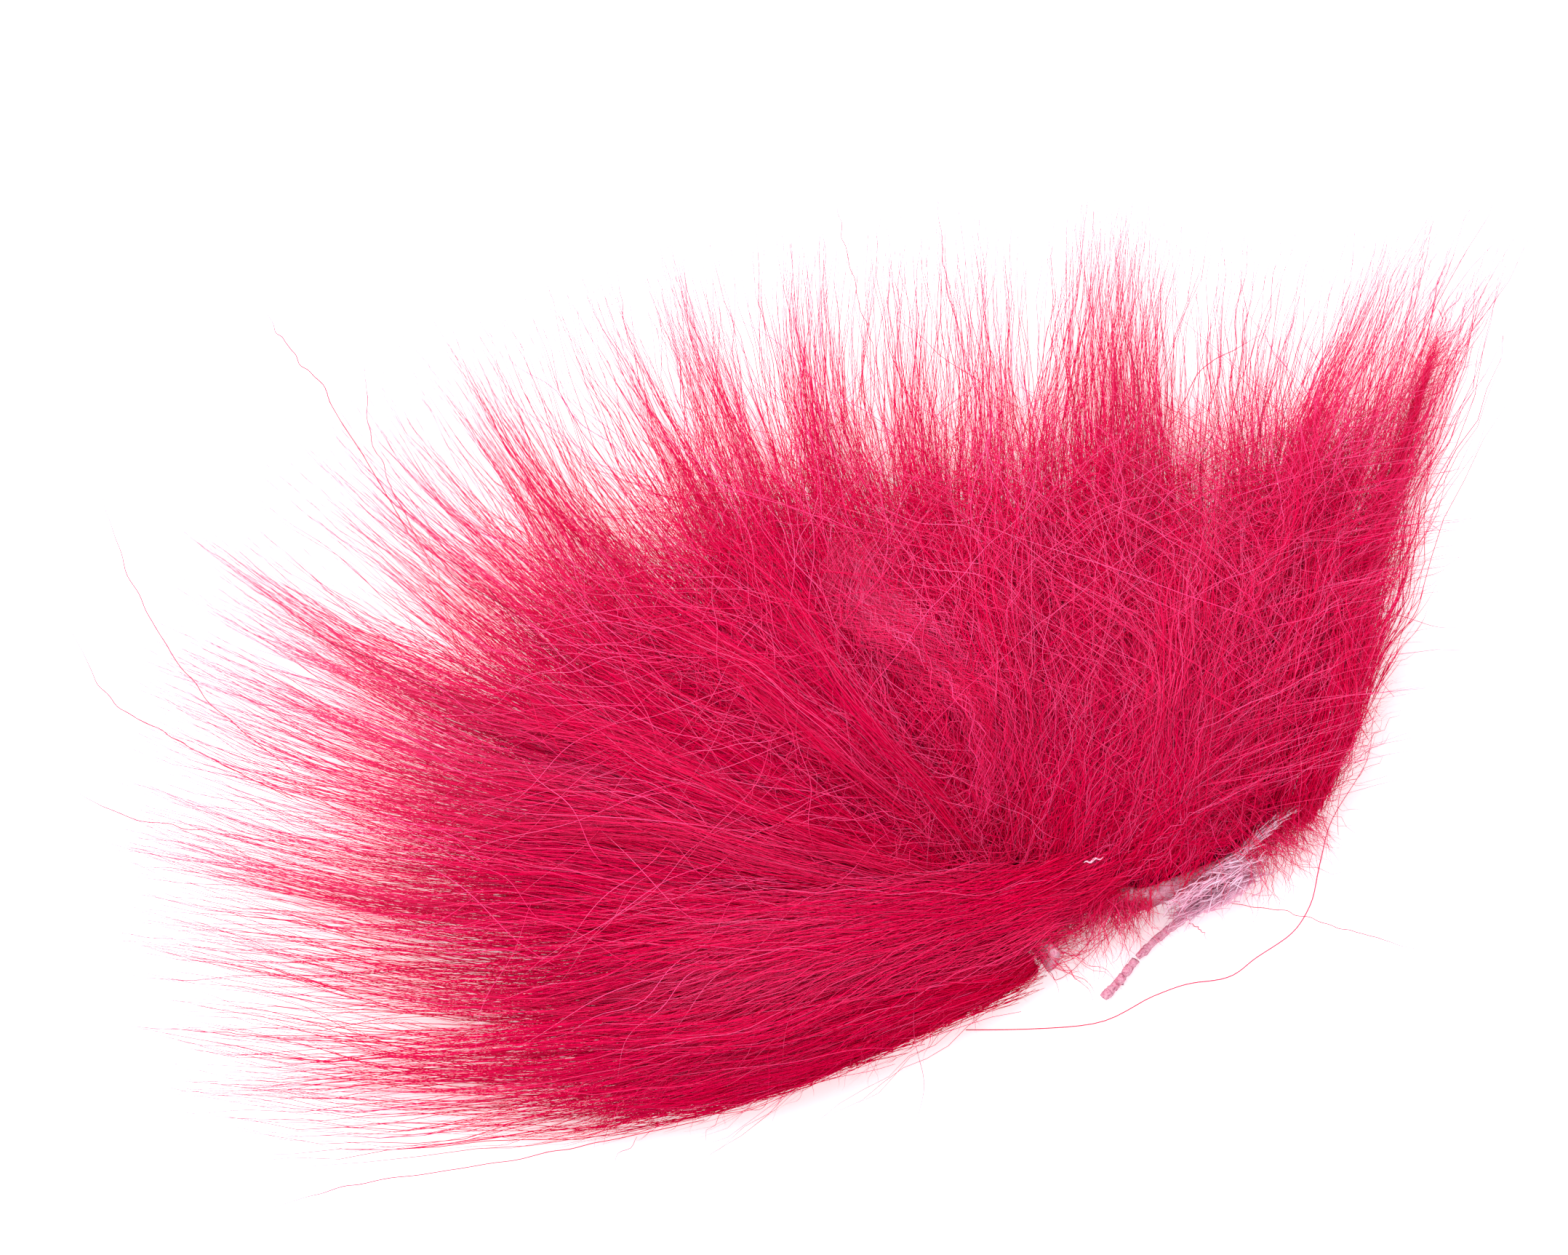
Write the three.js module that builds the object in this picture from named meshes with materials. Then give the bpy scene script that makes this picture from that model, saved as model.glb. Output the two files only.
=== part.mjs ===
// A scrap of long-haired dyed fur: a narrow strip of tanned hide that stands on its cut edge, folded once,
// with the fur combed out from it in a wide flat fan. Millimetres, +Z up.
// The origin is on the surface the fur lies on, under the middle of the folded piece of hide.
// Bearings are degrees from +X, anticlockwise seen from above.

import * as THREE from 'three';

// ---- Driving dimensions ----

const HIDE_THICKNESS = 1.0;
const HIDE_HEIGHT = 6.5;
const LEFT_PANEL = 8.7;
const CENTRE_PANEL = 12.8;
const RIGHT_PANEL_INNER = 7.6;
const RIGHT_PANEL_OUTER = 8.2;
const LEFT_BEARING = -51.5;
const CENTRE_BEARING = -4;
const RIGHT_INNER_BEARING = 21.5;
const RIGHT_OUTER_BEARING = 43;
const LEFT_FOLD_LEG = 1.9;
const CENTRE_FOLD_LEG = 3.0;

const TAIL_WIDTH = 1.0;
const TAIL_DEPTH = 2.2;
const TAIL_BASE_LENGTH = 5.1;
const TAIL_END_LENGTH = 4.8;
const TAIL_BASE_BEARING = 222;
const TAIL_END_BEARING = 231;
const CUT_END_SLANT = 0.5;

const FLESH_TUFT_LENGTH = 6.4;
const FLESH_TUFT_WIDTH = 1.9;
const FLESH_TUFT_HEIGHT = 3.6;
const FLESH_TUFT_PAST_BEND = 6.2;

const HAIR_LENGTH = 60;
const UNDERFUR_DEPTH = 3.0;
const GUARD_DEPTH = 8.5;
const PILE_HEIGHT = 18;
const CURL_DEPTH = 2.0;

const FIT_GAP = 0.4;
const ROOT_GAP = 0.5;
const SIDE_GAP = 0.55;

const GUARD_LOCKS = 18;
const CROWN_LOCKS = 9;
const LEFT_SHARE = 8 / 18;
const CENTRE_SHARE = 14 / 18;

// ---- Colours ----

const CRIMSON = 0xc4164f;
const DEEP_CRIMSON = 0x9c0838;
const PINK = 0xe23a70;
const HIDE_PINK = 0xd889ab;
const FLESH_LILAC = 0xeda6d6;

// How the hair is combed. Each line gives the panel of hide that a hair grows from, where on it the hair is seated
// (0 is the panel's end nearer the fold, 1 its far end), the bearing it leaves the hide on, the bearing its tip
// ends on, and its share of HAIR_LENGTH.
const COMBING = [
    { panel: 'left', seat: 0.94, leave: 217, arrive: 173, reach: 1.03 },
    { panel: 'left', seat: 0.71, leave: 202, arrive: 171, reach: 1.17 },
    { panel: 'left', seat: 0.49, leave: 187, arrive: 167, reach: 1.23 },
    { panel: 'left', seat: 0.28, leave: 176, arrive: 156, reach: 1.26 },
    { panel: 'left', seat: 0.08, leave: 165, arrive: 139, reach: 1.21 },
    { panel: 'fold', seat: 0, leave: 153, arrive: 122, reach: 1.11 },
    { panel: 'centre', seat: 0.12, leave: 137, arrive: 105, reach: 1.0 },
    { panel: 'centre', seat: 0.375, leave: 117, arrive: 91, reach: 0.95 },
    { panel: 'centre', seat: 0.8, leave: 96, arrive: 87, reach: 0.95 },
    { panel: 'rightInner', seat: 0.29, leave: 76, arrive: 86, reach: 0.88 },
    { panel: 'rightOuter', seat: 0.12, leave: 76, arrive: 62, reach: 0.95 },
    { panel: 'rightOuter', seat: 0.9, leave: 58, arrive: 82, reach: 0.55 },
];

// Heights along a hair, from its root at 0 to its tip at 1, as shares of the depth that each layer is given.
const UNDERFUR_RISE = [[0.12, 0.75], [0.24, 1.0], [0.36, 1.0], [0.48, 0.85], [0.6, 0.4]];
const GUARD_RISE = [[0, 0.38], [0.06, 0.54], [0.12, 0.7], [0.24, 0.94], [0.36, 1.0], [0.48, 0.95],
    [0.6, 0.86], [0.72, 0.74], [0.84, 0.6], [1, 0.44]];
const CROWN_RISE = [[0.05, 0.42], [0.12, 0.7], [0.24, 0.97], [0.36, 1.0], [0.48, 0.88], [0.6, 0.72], [0.7, 0.58]];
// The fur lies flatter at the far left and stands fullest behind the fold.
const PILE_ACROSS = [[0, 0.8], [0.25, 0.86], [0.5, 1.0], [0.75, 1.06], [1, 0.94]];

// ---- Helpers ----

function bearing(degrees) {
    const angle = THREE.MathUtils.degToRad(degrees);
    return new THREE.Vector2(Math.cos(angle), Math.sin(angle));
}

// Straight-line reading of a list of [place, value] pairs.
function readRise(rise, place) {
    if (place <= rise[0][0]) return rise[0][1];
    for (let i = 1; i < rise.length; i += 1) {
        const [before, low] = rise[i - 1];
        const [after, high] = rise[i];
        if (place <= after) return THREE.MathUtils.mapLinear(place, before, after, low, high);
    }
    return rise[rise.length - 1][1];
}

// A closed mesh from vertices and faces, turned so that its faces point out.
function closedGeometry(vertices, faces) {
    let volume = 0;
    for (const [a, b, c] of faces) {
        volume += vertices[a].dot(new THREE.Vector3().crossVectors(vertices[b], vertices[c]));
    }
    const order = volume > 0 ? faces : faces.map(([a, b, c]) => [a, c, b]);
    const geometry = new THREE.BufferGeometry().setFromPoints(vertices);
    geometry.setIndex(order.flat());
    geometry.computeVertexNormals();
    return geometry;
}

// A closed solid through a row of rings that all have the same number of points.
function ringSolid(rings) {
    const sides = rings[0].length;
    const vertices = rings.flat();
    const faces = [];
    for (let ring = 0; ring + 1 < rings.length; ring += 1) {
        for (let side = 0; side < sides; side += 1) {
            const a = ring * sides + side;
            const b = ring * sides + (side + 1) % sides;
            faces.push([a, b, b + sides], [a, b + sides, a + sides]);
        }
    }
    const last = (rings.length - 1) * sides;
    for (let side = 1; side + 1 < sides; side += 1) {
        faces.push([0, side + 1, side], [last, last + side, last + side + 1]);
    }
    return closedGeometry(vertices, faces);
}

function uprightPrism(outline, height) {
    const shape = new THREE.Shape(outline);
    return new THREE.ExtrudeGeometry(shape, { depth: height, bevelEnabled: false });
}

const fur = new THREE.Group();

function addPiece(name, geometry, color, roughness) {
    const material = new THREE.MeshStandardMaterial({ color, roughness, metalness: 0 });
    const mesh = new THREE.Mesh(geometry, material);
    mesh.name = name;
    fur.add(mesh);
    return mesh;
}

// ---- The line of the hide ----

const FOLD = new THREE.Vector2(0, 0);
const LEFT_END = FOLD.clone().addScaledVector(bearing(LEFT_BEARING), LEFT_PANEL);
const RIGHT_BEND = FOLD.clone().addScaledVector(bearing(CENTRE_BEARING), CENTRE_PANEL);
const RIGHT_KNEE = RIGHT_BEND.clone().addScaledVector(bearing(RIGHT_INNER_BEARING), RIGHT_PANEL_INNER);
const RIGHT_END = RIGHT_KNEE.clone().addScaledVector(bearing(RIGHT_OUTER_BEARING), RIGHT_PANEL_OUTER);
const BEND_PLACE = CENTRE_PANEL;
const KNEE_PLACE = BEND_PLACE + RIGHT_PANEL_INNER;
const END_PLACE = KNEE_PLACE + RIGHT_PANEL_OUTER;

// Each straight stretch of hide: where it starts and ends along the strip, its first corner, and its run.
const STRETCHES = [
    { from: -LEFT_PANEL, to: 0, corner: LEFT_END, run: bearing(LEFT_BEARING + 180) },
    { from: 0, to: BEND_PLACE, corner: FOLD, run: bearing(CENTRE_BEARING) },
    { from: BEND_PLACE, to: KNEE_PLACE, corner: RIGHT_BEND, run: bearing(RIGHT_INNER_BEARING) },
    { from: KNEE_PLACE, to: END_PLACE, corner: RIGHT_KNEE, run: bearing(RIGHT_OUTER_BEARING) },
];

function hairSide(run) {
    return new THREE.Vector2(-run.y, run.x);
}

// A point beside one stretch of the hide: offset is positive on the hair side, negative on the flesh side.
function besideStretch(stretch, place, offset) {
    const point = stretch.corner.clone().addScaledVector(stretch.run, place - stretch.from);
    return point.addScaledVector(hairSide(stretch.run), offset);
}

// The mitred corner between two stretches, at an offset from the hide's middle.
function mitre(first, second, offset) {
    const lean = hairSide(first.run).add(hairSide(second.run)).normalize();
    const reach = offset / lean.dot(hairSide(first.run));
    return second.corner.clone().addScaledVector(lean, reach);
}

// Where a hair is rooted: just clear of the hair side. At the fold it is on the outside of the bend.
function rootAt(panel, seat) {
    const offset = HIDE_THICKNESS / 2 + ROOT_GAP;
    const [left, centre, rightInner, rightOuter] = STRETCHES;
    if (panel === 'fold') {
        const lean = hairSide(left.run).add(hairSide(centre.run)).normalize();
        return FOLD.clone().addScaledVector(lean, offset);
    }
    if (panel === 'left') return besideStretch(left, -seat * LEFT_PANEL, offset);
    const stretch = { centre, rightInner, rightOuter }[panel];
    return besideStretch(stretch, THREE.MathUtils.lerp(stretch.from, stretch.to, seat), offset);
}

// ---- Hide: folded piece, left, centre and right panels ----

function foldOutline() {
    const half = HIDE_THICKNESS / 2;
    const [left, centre] = STRETCHES;
    const lean = hairSide(left.run).add(hairSide(centre.run)).normalize();
    return [
        besideStretch(left, -LEFT_FOLD_LEG, half),
        besideStretch(left, 0, half),
        FOLD.clone().addScaledVector(lean, half),
        besideStretch(centre, 0, half),
        besideStretch(centre, CENTRE_FOLD_LEG, half),
        besideStretch(centre, CENTRE_FOLD_LEG, -half),
        mitre(left, centre, -half),
        besideStretch(left, -LEFT_FOLD_LEG, -half),
    ];
}

function straightPanel(stretch, from, to) {
    const half = HIDE_THICKNESS / 2;
    return [
        besideStretch(stretch, from, half),
        besideStretch(stretch, to, half),
        besideStretch(stretch, to, -half),
        besideStretch(stretch, from, -half),
    ];
}

function kneedPanel(first, second, from, to) {
    const half = HIDE_THICKNESS / 2;
    return [
        besideStretch(first, from, half),
        mitre(first, second, half),
        besideStretch(second, to, half),
        besideStretch(second, to, -half),
        mitre(first, second, -half),
        besideStretch(first, from, -half),
    ];
}

const [leftStretch, centreStretch, rightInner, rightOuter] = STRETCHES;
const leftStart = -LEFT_FOLD_LEG - FIT_GAP;
const centreStart = CENTRE_FOLD_LEG + FIT_GAP;
addPiece('hide_fold', uprightPrism(foldOutline(), HIDE_HEIGHT), HIDE_PINK, 0.8);
addPiece('hide_left', uprightPrism(straightPanel(leftStretch, -LEFT_PANEL, leftStart), HIDE_HEIGHT), HIDE_PINK, 0.8);
addPiece('hide_centre',
    uprightPrism(straightPanel(centreStretch, centreStart, BEND_PLACE - FIT_GAP), HIDE_HEIGHT), HIDE_PINK, 0.8);
addPiece('hide_right',
    uprightPrism(kneedPanel(rightInner, rightOuter, BEND_PLACE + FIT_GAP, END_PLACE), HIDE_HEIGHT), HIDE_PINK, 0.8);

// ---- Torn flesh-side fibres: a flattened tuft against the flesh side of the right panel ----

const TUFT_BEARING = (RIGHT_INNER_BEARING + RIGHT_OUTER_BEARING) / 2;

function fleshTuft() {
    const tuft = new THREE.SphereGeometry(0.5, 14, 8);
    tuft.scale(FLESH_TUFT_LENGTH, FLESH_TUFT_WIDTH, FLESH_TUFT_HEIGHT);
    return tuft;
}

const tuftStandOff = HIDE_THICKNESS / 2 + FIT_GAP + FLESH_TUFT_WIDTH / 2;
const tuftSeat = besideStretch(rightInner, BEND_PLACE + FLESH_TUFT_PAST_BEND, -tuftStandOff);
const tuft = addPiece('flesh_fibres', fleshTuft(), FLESH_LILAC, 0.9);
tuft.position.set(tuftSeat.x, tuftSeat.y, FLESH_TUFT_HEIGHT / 2);
tuft.rotation.z = THREE.MathUtils.degToRad(RIGHT_INNER_BEARING);

// ---- The bare tail: a sliver torn off the hide's lower edge, in two lengths, standing on edge ----

const tailRoot = tuftSeat.clone()
    .addScaledVector(bearing(RIGHT_INNER_BEARING + 180), FLESH_TUFT_LENGTH / 2 + FIT_GAP)
    .addScaledVector(bearing(RIGHT_INNER_BEARING - 90), TAIL_WIDTH / 2);

function sliver(length, endSlant) {
    const half = TAIL_WIDTH / 2;
    return uprightPrism([
        new THREE.Vector2(0, -half),
        new THREE.Vector2(length, -half),
        new THREE.Vector2(length - endSlant, half),
        new THREE.Vector2(0, half),
    ], TAIL_DEPTH);
}

function addTail(name, length, endSlant, start, degrees) {
    const tail = addPiece(name, sliver(length, endSlant), HIDE_PINK, 0.7);
    tail.position.set(start.x, start.y, 0);
    tail.rotation.z = THREE.MathUtils.degToRad(degrees);
}

const tailMiddle = tailRoot.clone()
    .addScaledVector(bearing(TAIL_BASE_BEARING), TAIL_BASE_LENGTH + FIT_GAP);
addTail('tail_base', TAIL_BASE_LENGTH, 0, tailRoot, TAIL_BASE_BEARING);
addTail('tail_end', TAIL_END_LENGTH, CUT_END_SLANT, tailMiddle, TAIL_END_BEARING);

// ---- The lie of the hair ----

const COMB_STEPS = 48;
const roots = new THREE.CatmullRomCurve3(COMBING.map(({ panel, seat }) => {
    const root = rootAt(panel, seat);
    return new THREE.Vector3(root.x, root.y, 0);
}), false, 'catmullrom', 0.5);
const combing = new THREE.CatmullRomCurve3(
    COMBING.map(({ leave, arrive, reach }) => new THREE.Vector3(leave, arrive, reach)), false, 'catmullrom', 0.5);

// The plan of the hair at a place across the fan, 0 at the left boundary and 1 at the right.
function hairLine(across) {
    const root = roots.getPoint(across);
    const { x: leave, y: arrive, z: reach } = combing.getPoint(across);
    const step = reach * HAIR_LENGTH / COMB_STEPS;
    const line = [new THREE.Vector2(root.x, root.y)];
    for (let i = 0; i < COMB_STEPS; i += 1) {
        const turn = THREE.MathUtils.lerp(leave, arrive, (i + 0.5) / COMB_STEPS);
        line.push(line[i].clone().addScaledVector(bearing(turn), step));
    }
    return line;
}

function alongLine(line, place) {
    const steps = THREE.MathUtils.clamp(place, 0, 1) * COMB_STEPS;
    const before = Math.min(Math.floor(steps), COMB_STEPS - 1);
    return line[before].clone().lerp(line[before + 1], steps - before);
}

function underfurTop(place) {
    return UNDERFUR_DEPTH * readRise(UNDERFUR_RISE, place);
}

function guardTop(place) {
    return GUARD_DEPTH * readRise(GUARD_RISE, place);
}

function crownTop(place, across) {
    return PILE_HEIGHT * readRise(CROWN_RISE, place) * readRise(PILE_ACROSS, across);
}

// The guard hair rests on the underfur, and on the table past the underfur's edge.
function guardBed(place) {
    const edge = UNDERFUR_RISE[UNDERFUR_RISE.length - 1][0];
    const onUnderfur = underfurTop(Math.min(place, edge)) + FIT_GAP;
    const onTable = THREE.MathUtils.smoothstep(place, edge + 0.02, edge + 0.12);
    const atRoot = 1 - THREE.MathUtils.smoothstep(place, 0, 0.1);
    const lowest = THREE.MathUtils.lerp(onUnderfur, FIT_GAP, Math.max(onTable, atRoot * 0.8));
    return lowest;
}

// ---- Underfur: one matted layer under each wing of the fan ----

function underfurMat(from, to, columns) {
    const places = UNDERFUR_RISE.map(([place]) => place);
    const rings = [];
    for (let column = 0; column <= columns; column += 1) {
        const across = THREE.MathUtils.lerp(from, to, column / columns);
        const line = hairLine(across);
        const upper = places.map((place) => {
            const point = alongLine(line, place);
            return new THREE.Vector3(point.x, point.y, underfurTop(place));
        });
        const lower = places.map((place) => {
            const point = alongLine(line, place);
            return new THREE.Vector3(point.x, point.y, 0);
        });
        rings.push([...upper, ...lower.reverse()]);
    }
    return ringSolid(rings);
}

const MAT_INSET = 0.012;
addPiece('underfur_left', underfurMat(MAT_INSET, LEFT_SHARE - MAT_INSET, 10), DEEP_CRIMSON, 1);
addPiece('underfur_centre', underfurMat(LEFT_SHARE + MAT_INSET, CENTRE_SHARE - MAT_INSET, 7), DEEP_CRIMSON, 1);
addPiece('underfur_right', underfurMat(CENTRE_SHARE + MAT_INSET, 1 - MAT_INSET, 6), DEEP_CRIMSON, 1);

// ---- Locks: tapering clumps of hair between two hair lines ----

const LOCK_SIDES = 8;
const LOCK_SQUARENESS = 0.65;

function softened(value) {
    return Math.sign(value) * Math.abs(value) ** LOCK_SQUARENESS;
}

// One lock. places run from its root to its tip, and fullness(place) is its share of the room between its lines.
function lockSolid({ from, to, places, low, high, fullness }) {
    const leftLine = hairLine(to);
    const rightLine = hairLine(from);
    const rings = places.map((place) => {
        const left = alongLine(leftLine, place);
        const right = alongLine(rightLine, place);
        const middle = left.clone().lerp(right, 0.5);
        const span = left.clone().sub(right);
        const halfWidth = (span.length() - SIDE_GAP) / 2 * fullness(place);
        span.normalize();
        const halfHeight = (high(place) - low(place)) / 2;
        const height = (high(place) + low(place)) / 2;
        const ring = [];
        for (let side = 0; side < LOCK_SIDES; side += 1) {
            const angle = (side + 0.5) / LOCK_SIDES * 2 * Math.PI;
            const point = middle.clone().addScaledVector(span, halfWidth * softened(Math.cos(angle)));
            ring.push(new THREE.Vector3(point.x, point.y, height + halfHeight * softened(Math.sin(angle))));
        }
        return ring;
    });
    return ringSolid(rings);
}

function lockName(kind, index) {
    return `${kind}_${String(index + 1).padStart(2, '0')}`;
}

// Guard locks: the long lower layer, drawn out to points of uneven length.
const GUARD_BODY = [0, 0.06, 0.12, 0.24, 0.36, 0.48, 0.6, 0.72];
const TIP_STEPS = [0.45, 0.8, 1];
const UNEVEN_TIPS = [1.0, 0.94, 0.99, 0.91, 0.97, 0.93];
const TIP_WIDTH = 0.1;
const TIP_LIFT = 0.3;

function addGuardLock(index) {
    const reach = UNEVEN_TIPS[index % UNEVEN_TIPS.length];
    const bodyEnd = GUARD_BODY[GUARD_BODY.length - 1];
    const places = [...GUARD_BODY, ...TIP_STEPS.map((step) => bodyEnd + (reach - bodyEnd) * step)];
    const high = guardTop;
    const low = (place) => {
        const lift = THREE.MathUtils.smoothstep(place, bodyEnd, reach) * TIP_LIFT;
        return THREE.MathUtils.lerp(guardBed(place), high(place), lift);
    };
    const geometry = lockSolid({
        from: index / GUARD_LOCKS,
        to: (index + 1) / GUARD_LOCKS,
        places,
        low,
        high,
        fullness: (place) => THREE.MathUtils.lerp(1, TIP_WIDTH, THREE.MathUtils.smoothstep(place, 0.5, reach)),
    });
    addPiece(lockName('guard_lock', index), geometry, index % 2 ? CRIMSON : PINK, 0.7);
}

for (let index = 0; index < GUARD_LOCKS; index += 1) addGuardLock(index);

// Crown locks: the shorter, fuller hair on top, two guard locks wide.
const CROWN_PLACES = [0.05, 0.12, 0.24, 0.36, 0.48, 0.6, 0.68];
const CROWN_TIP_WIDTH = 0.45;

function addCrownLock(index) {
    const middle = (index + 0.5) / CROWN_LOCKS;
    const geometry = lockSolid({
        from: index / CROWN_LOCKS,
        to: (index + 1) / CROWN_LOCKS,
        places: CROWN_PLACES,
        low: (place) => guardTop(place) + FIT_GAP,
        high: (place) => crownTop(place, middle),
        fullness: (place) => THREE.MathUtils.lerp(1, CROWN_TIP_WIDTH, THREE.MathUtils.smoothstep(place, 0.4, 0.68)),
    });
    addPiece(lockName('crown_lock', index), geometry, index % 2 ? PINK : CRIMSON, 0.8);
}

for (let index = 0; index < CROWN_LOCKS; index += 1) addCrownLock(index);

// The curled lock: a slim lock in a slow S that lies loose on top of the centre crown locks.
const CURL_PLACES = [0.1, 0.16, 0.22, 0.28, 0.34, 0.4, 0.46, 0.52];
const CURL_ACROSS = 0.6;
const CURL_SWAY = 0.03;
const CURL_WIDTH = 0.035;

function curlSolid() {
    const rings = CURL_PLACES.map((place, index) => {
        const turn = index / (CURL_PLACES.length - 1);
        const across = CURL_ACROSS + CURL_SWAY * Math.sin(turn * 2 * Math.PI);
        const taper = 1 - 0.7 * turn ** 2;
        const left = alongLine(hairLine(across + CURL_WIDTH * taper), place);
        const right = alongLine(hairLine(across - CURL_WIDTH * taper), place);
        const middle = left.clone().lerp(right, 0.5);
        const half = left.clone().sub(right).multiplyScalar(0.5);
        const bottom = Math.max(crownTop(place, across), crownTop(place, across + CURL_WIDTH)) + FIT_GAP;
        const halfDepth = CURL_DEPTH / 2 * taper;
        const ring = [];
        for (let side = 0; side < LOCK_SIDES; side += 1) {
            const angle = (side + 0.5) / LOCK_SIDES * 2 * Math.PI;
            const point = middle.clone().addScaledVector(half, softened(Math.cos(angle)));
            ring.push(new THREE.Vector3(point.x, point.y, bottom + halfDepth * (1 + softened(Math.sin(angle)))));
        }
        return ring;
    });
    return ringSolid(rings);
}

addPiece('curl_lock', curlSolid(), PINK, 0.7);

export default fur;
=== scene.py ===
# %% [markdown]
# # A scrap of dyed fur on a strip of hide
#
# Fur is thousands of fine hairs growing out of one thin skin. Blender has its own hair system, but a part
# that goes into a library has to be plain mesh that any other program can read. So this lesson spins every hair
# as a thin three-sided mesh thread, a whole lock at a time, with numpy doing the sums. The CAD frame gives the
# hide, the locks and the places where the scrap bends. Everything here is laid out in millimetres and turned
# into metres only when a mesh is made.

import math

import bpy
import numpy as np
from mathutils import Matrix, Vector


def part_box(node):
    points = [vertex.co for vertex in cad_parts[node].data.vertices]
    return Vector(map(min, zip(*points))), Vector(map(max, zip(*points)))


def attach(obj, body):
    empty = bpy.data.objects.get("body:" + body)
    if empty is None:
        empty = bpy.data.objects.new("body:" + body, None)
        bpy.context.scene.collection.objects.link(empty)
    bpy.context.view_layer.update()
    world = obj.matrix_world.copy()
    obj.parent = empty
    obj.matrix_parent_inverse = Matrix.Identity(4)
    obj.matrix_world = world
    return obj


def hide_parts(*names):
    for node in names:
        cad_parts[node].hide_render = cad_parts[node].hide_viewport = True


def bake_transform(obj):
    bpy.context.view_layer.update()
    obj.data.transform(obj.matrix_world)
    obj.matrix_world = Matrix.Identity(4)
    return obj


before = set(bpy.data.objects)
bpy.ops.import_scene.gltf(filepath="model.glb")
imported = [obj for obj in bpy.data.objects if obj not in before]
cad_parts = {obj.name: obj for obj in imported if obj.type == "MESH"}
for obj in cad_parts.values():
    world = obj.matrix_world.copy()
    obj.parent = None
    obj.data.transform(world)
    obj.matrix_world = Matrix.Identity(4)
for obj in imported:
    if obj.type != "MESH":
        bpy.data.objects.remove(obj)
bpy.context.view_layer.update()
MM = 0.001

# %% [markdown]
# ## How the hair is combed
#
# Every hair leaves the hide on one bearing and ends on another. Between them it turns evenly, which is how combed
# hair lies on a table. Twelve such combed lines, given from the left end of the hide to the right end, are
# enough. All other hairs are read between them. "Across" is a place in the fan from 0 (left end) to 1 (right
# end) and "place" is how far along a hair, from 0 at the root to 1 at the usual tip. Bearings are in degrees,
# anticlockwise from +X.

# %% The hide's line and the combed lines
LEFT, CENTRE, INNER, OUTER = 8.7, 12.8, 7.6, 8.2
HIDE_RUNS = [(-51.5, LEFT), (-4.0, CENTRE), (21.5, INNER), (43.0, OUTER)]
HIDE_END = CENTRE + INNER + OUTER
HIDE_THICKNESS = 1.0
HIDE_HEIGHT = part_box("hide_fold")[1].z / MM
ROOT_GAP = 0.5
HAIR_LENGTH = 60.0
PILE_HEIGHT = 18.0

SEATS = [-0.94 * LEFT, -0.71 * LEFT, -0.49 * LEFT, -0.28 * LEFT, -0.08 * LEFT, 0.0,
         0.12 * CENTRE, 0.375 * CENTRE, 0.8 * CENTRE, CENTRE + 0.29 * INNER,
         CENTRE + INNER + 0.12 * OUTER, CENTRE + INNER + 0.9 * OUTER]
LEAVES = [217, 202, 187, 176, 165, 153, 137, 117, 96, 76, 76, 58]
ARRIVES = [173, 171, 167, 156, 139, 122, 105, 91, 87, 86, 62, 82]
REACHES = [1.03, 1.17, 1.23, 1.26, 1.21, 1.11, 1.0, 0.95, 0.95, 0.88, 0.95, 0.55]


def heading(degrees):
    angle = np.radians(degrees)
    return np.stack([np.cos(angle), np.sin(angle)], axis=-1)


def leftwards(run):
    """A quarter turn to the left, in plan."""
    return np.stack([-run[..., 1], run[..., 0]], axis=-1)


def raised(plan, heights):
    """Plan points and their heights put together."""
    return np.concatenate([plan, heights[..., None]], axis=-1)


def hide_point(place, offset=0.0):
    """A point along the hide (minus on the left panel), set off towards the hair side."""
    if place < 0:
        run = heading(HIDE_RUNS[0][0])
        return run * -place - leftwards(run) * offset
    corner, left = np.zeros(2), place
    for degrees, length in HIDE_RUNS[1:]:
        run = heading(degrees)
        if left <= length or degrees == HIDE_RUNS[-1][0]:
            return corner + run * left + leftwards(run) * offset
        corner, left = corner + run * length, left - length


def root_point(seat):
    offset = HIDE_THICKNESS / 2 + ROOT_GAP
    if seat == 0:
        middle = (HIDE_RUNS[0][0] + 180 + HIDE_RUNS[1][0]) / 2 + 90
        return heading(middle) * offset
    return hide_point(seat, offset)


print("hide ends at", hide_point(-LEFT).round(2), hide_point(HIDE_END).round(2))

# %% A table of the whole fan
ACROSS_STEPS = 260
PLACE_STEPS = 140
FARTHEST = 1.4


def smooth_read(values, at):
    """Reads a row of values with a smooth curve through every one of them."""
    values = np.asarray(values, float)
    last = len(values) - 1
    spot = np.clip(at, 0, 1) * last
    before = np.minimum(spot.astype(int), last - 1)
    share = (spot - before).reshape((-1,) + (1,) * (values.ndim - 1))
    padded = np.concatenate([[2 * values[0] - values[1]], values, [2 * values[-1] - values[-2]]])
    p0, p1, p2, p3 = (padded[before + k] for k in range(4))
    return 0.5 * (2 * p1 + (p2 - p0) * share + (2 * p0 - 5 * p1 + 4 * p2 - p3) * share**2
                  + (3 * p1 - p0 - 3 * p2 + p3) * share**3)


def fan_table():
    across = np.linspace(0, 1, ACROSS_STEPS + 1)
    roots = smooth_read([root_point(seat) for seat in SEATS], across)
    leave, arrive, reach = (smooth_read(row, across)[:, None] for row in (LEAVES, ARRIVES, REACHES))
    step = FARTHEST / PLACE_STEPS
    middles = np.minimum((np.arange(PLACE_STEPS) + 0.5) * step, 1.0)
    moves = heading(leave + (arrive - leave) * middles) * (reach * HAIR_LENGTH * step)[..., None]
    walked = np.concatenate([np.zeros((len(across), 1, 2)), np.cumsum(moves, axis=1)], axis=1)
    return roots[:, None, :] + walked


FAN = fan_table()
RUNS = np.gradient(FAN, axis=1)
RUNS /= np.linalg.norm(RUNS, axis=-1, keepdims=True)


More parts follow.
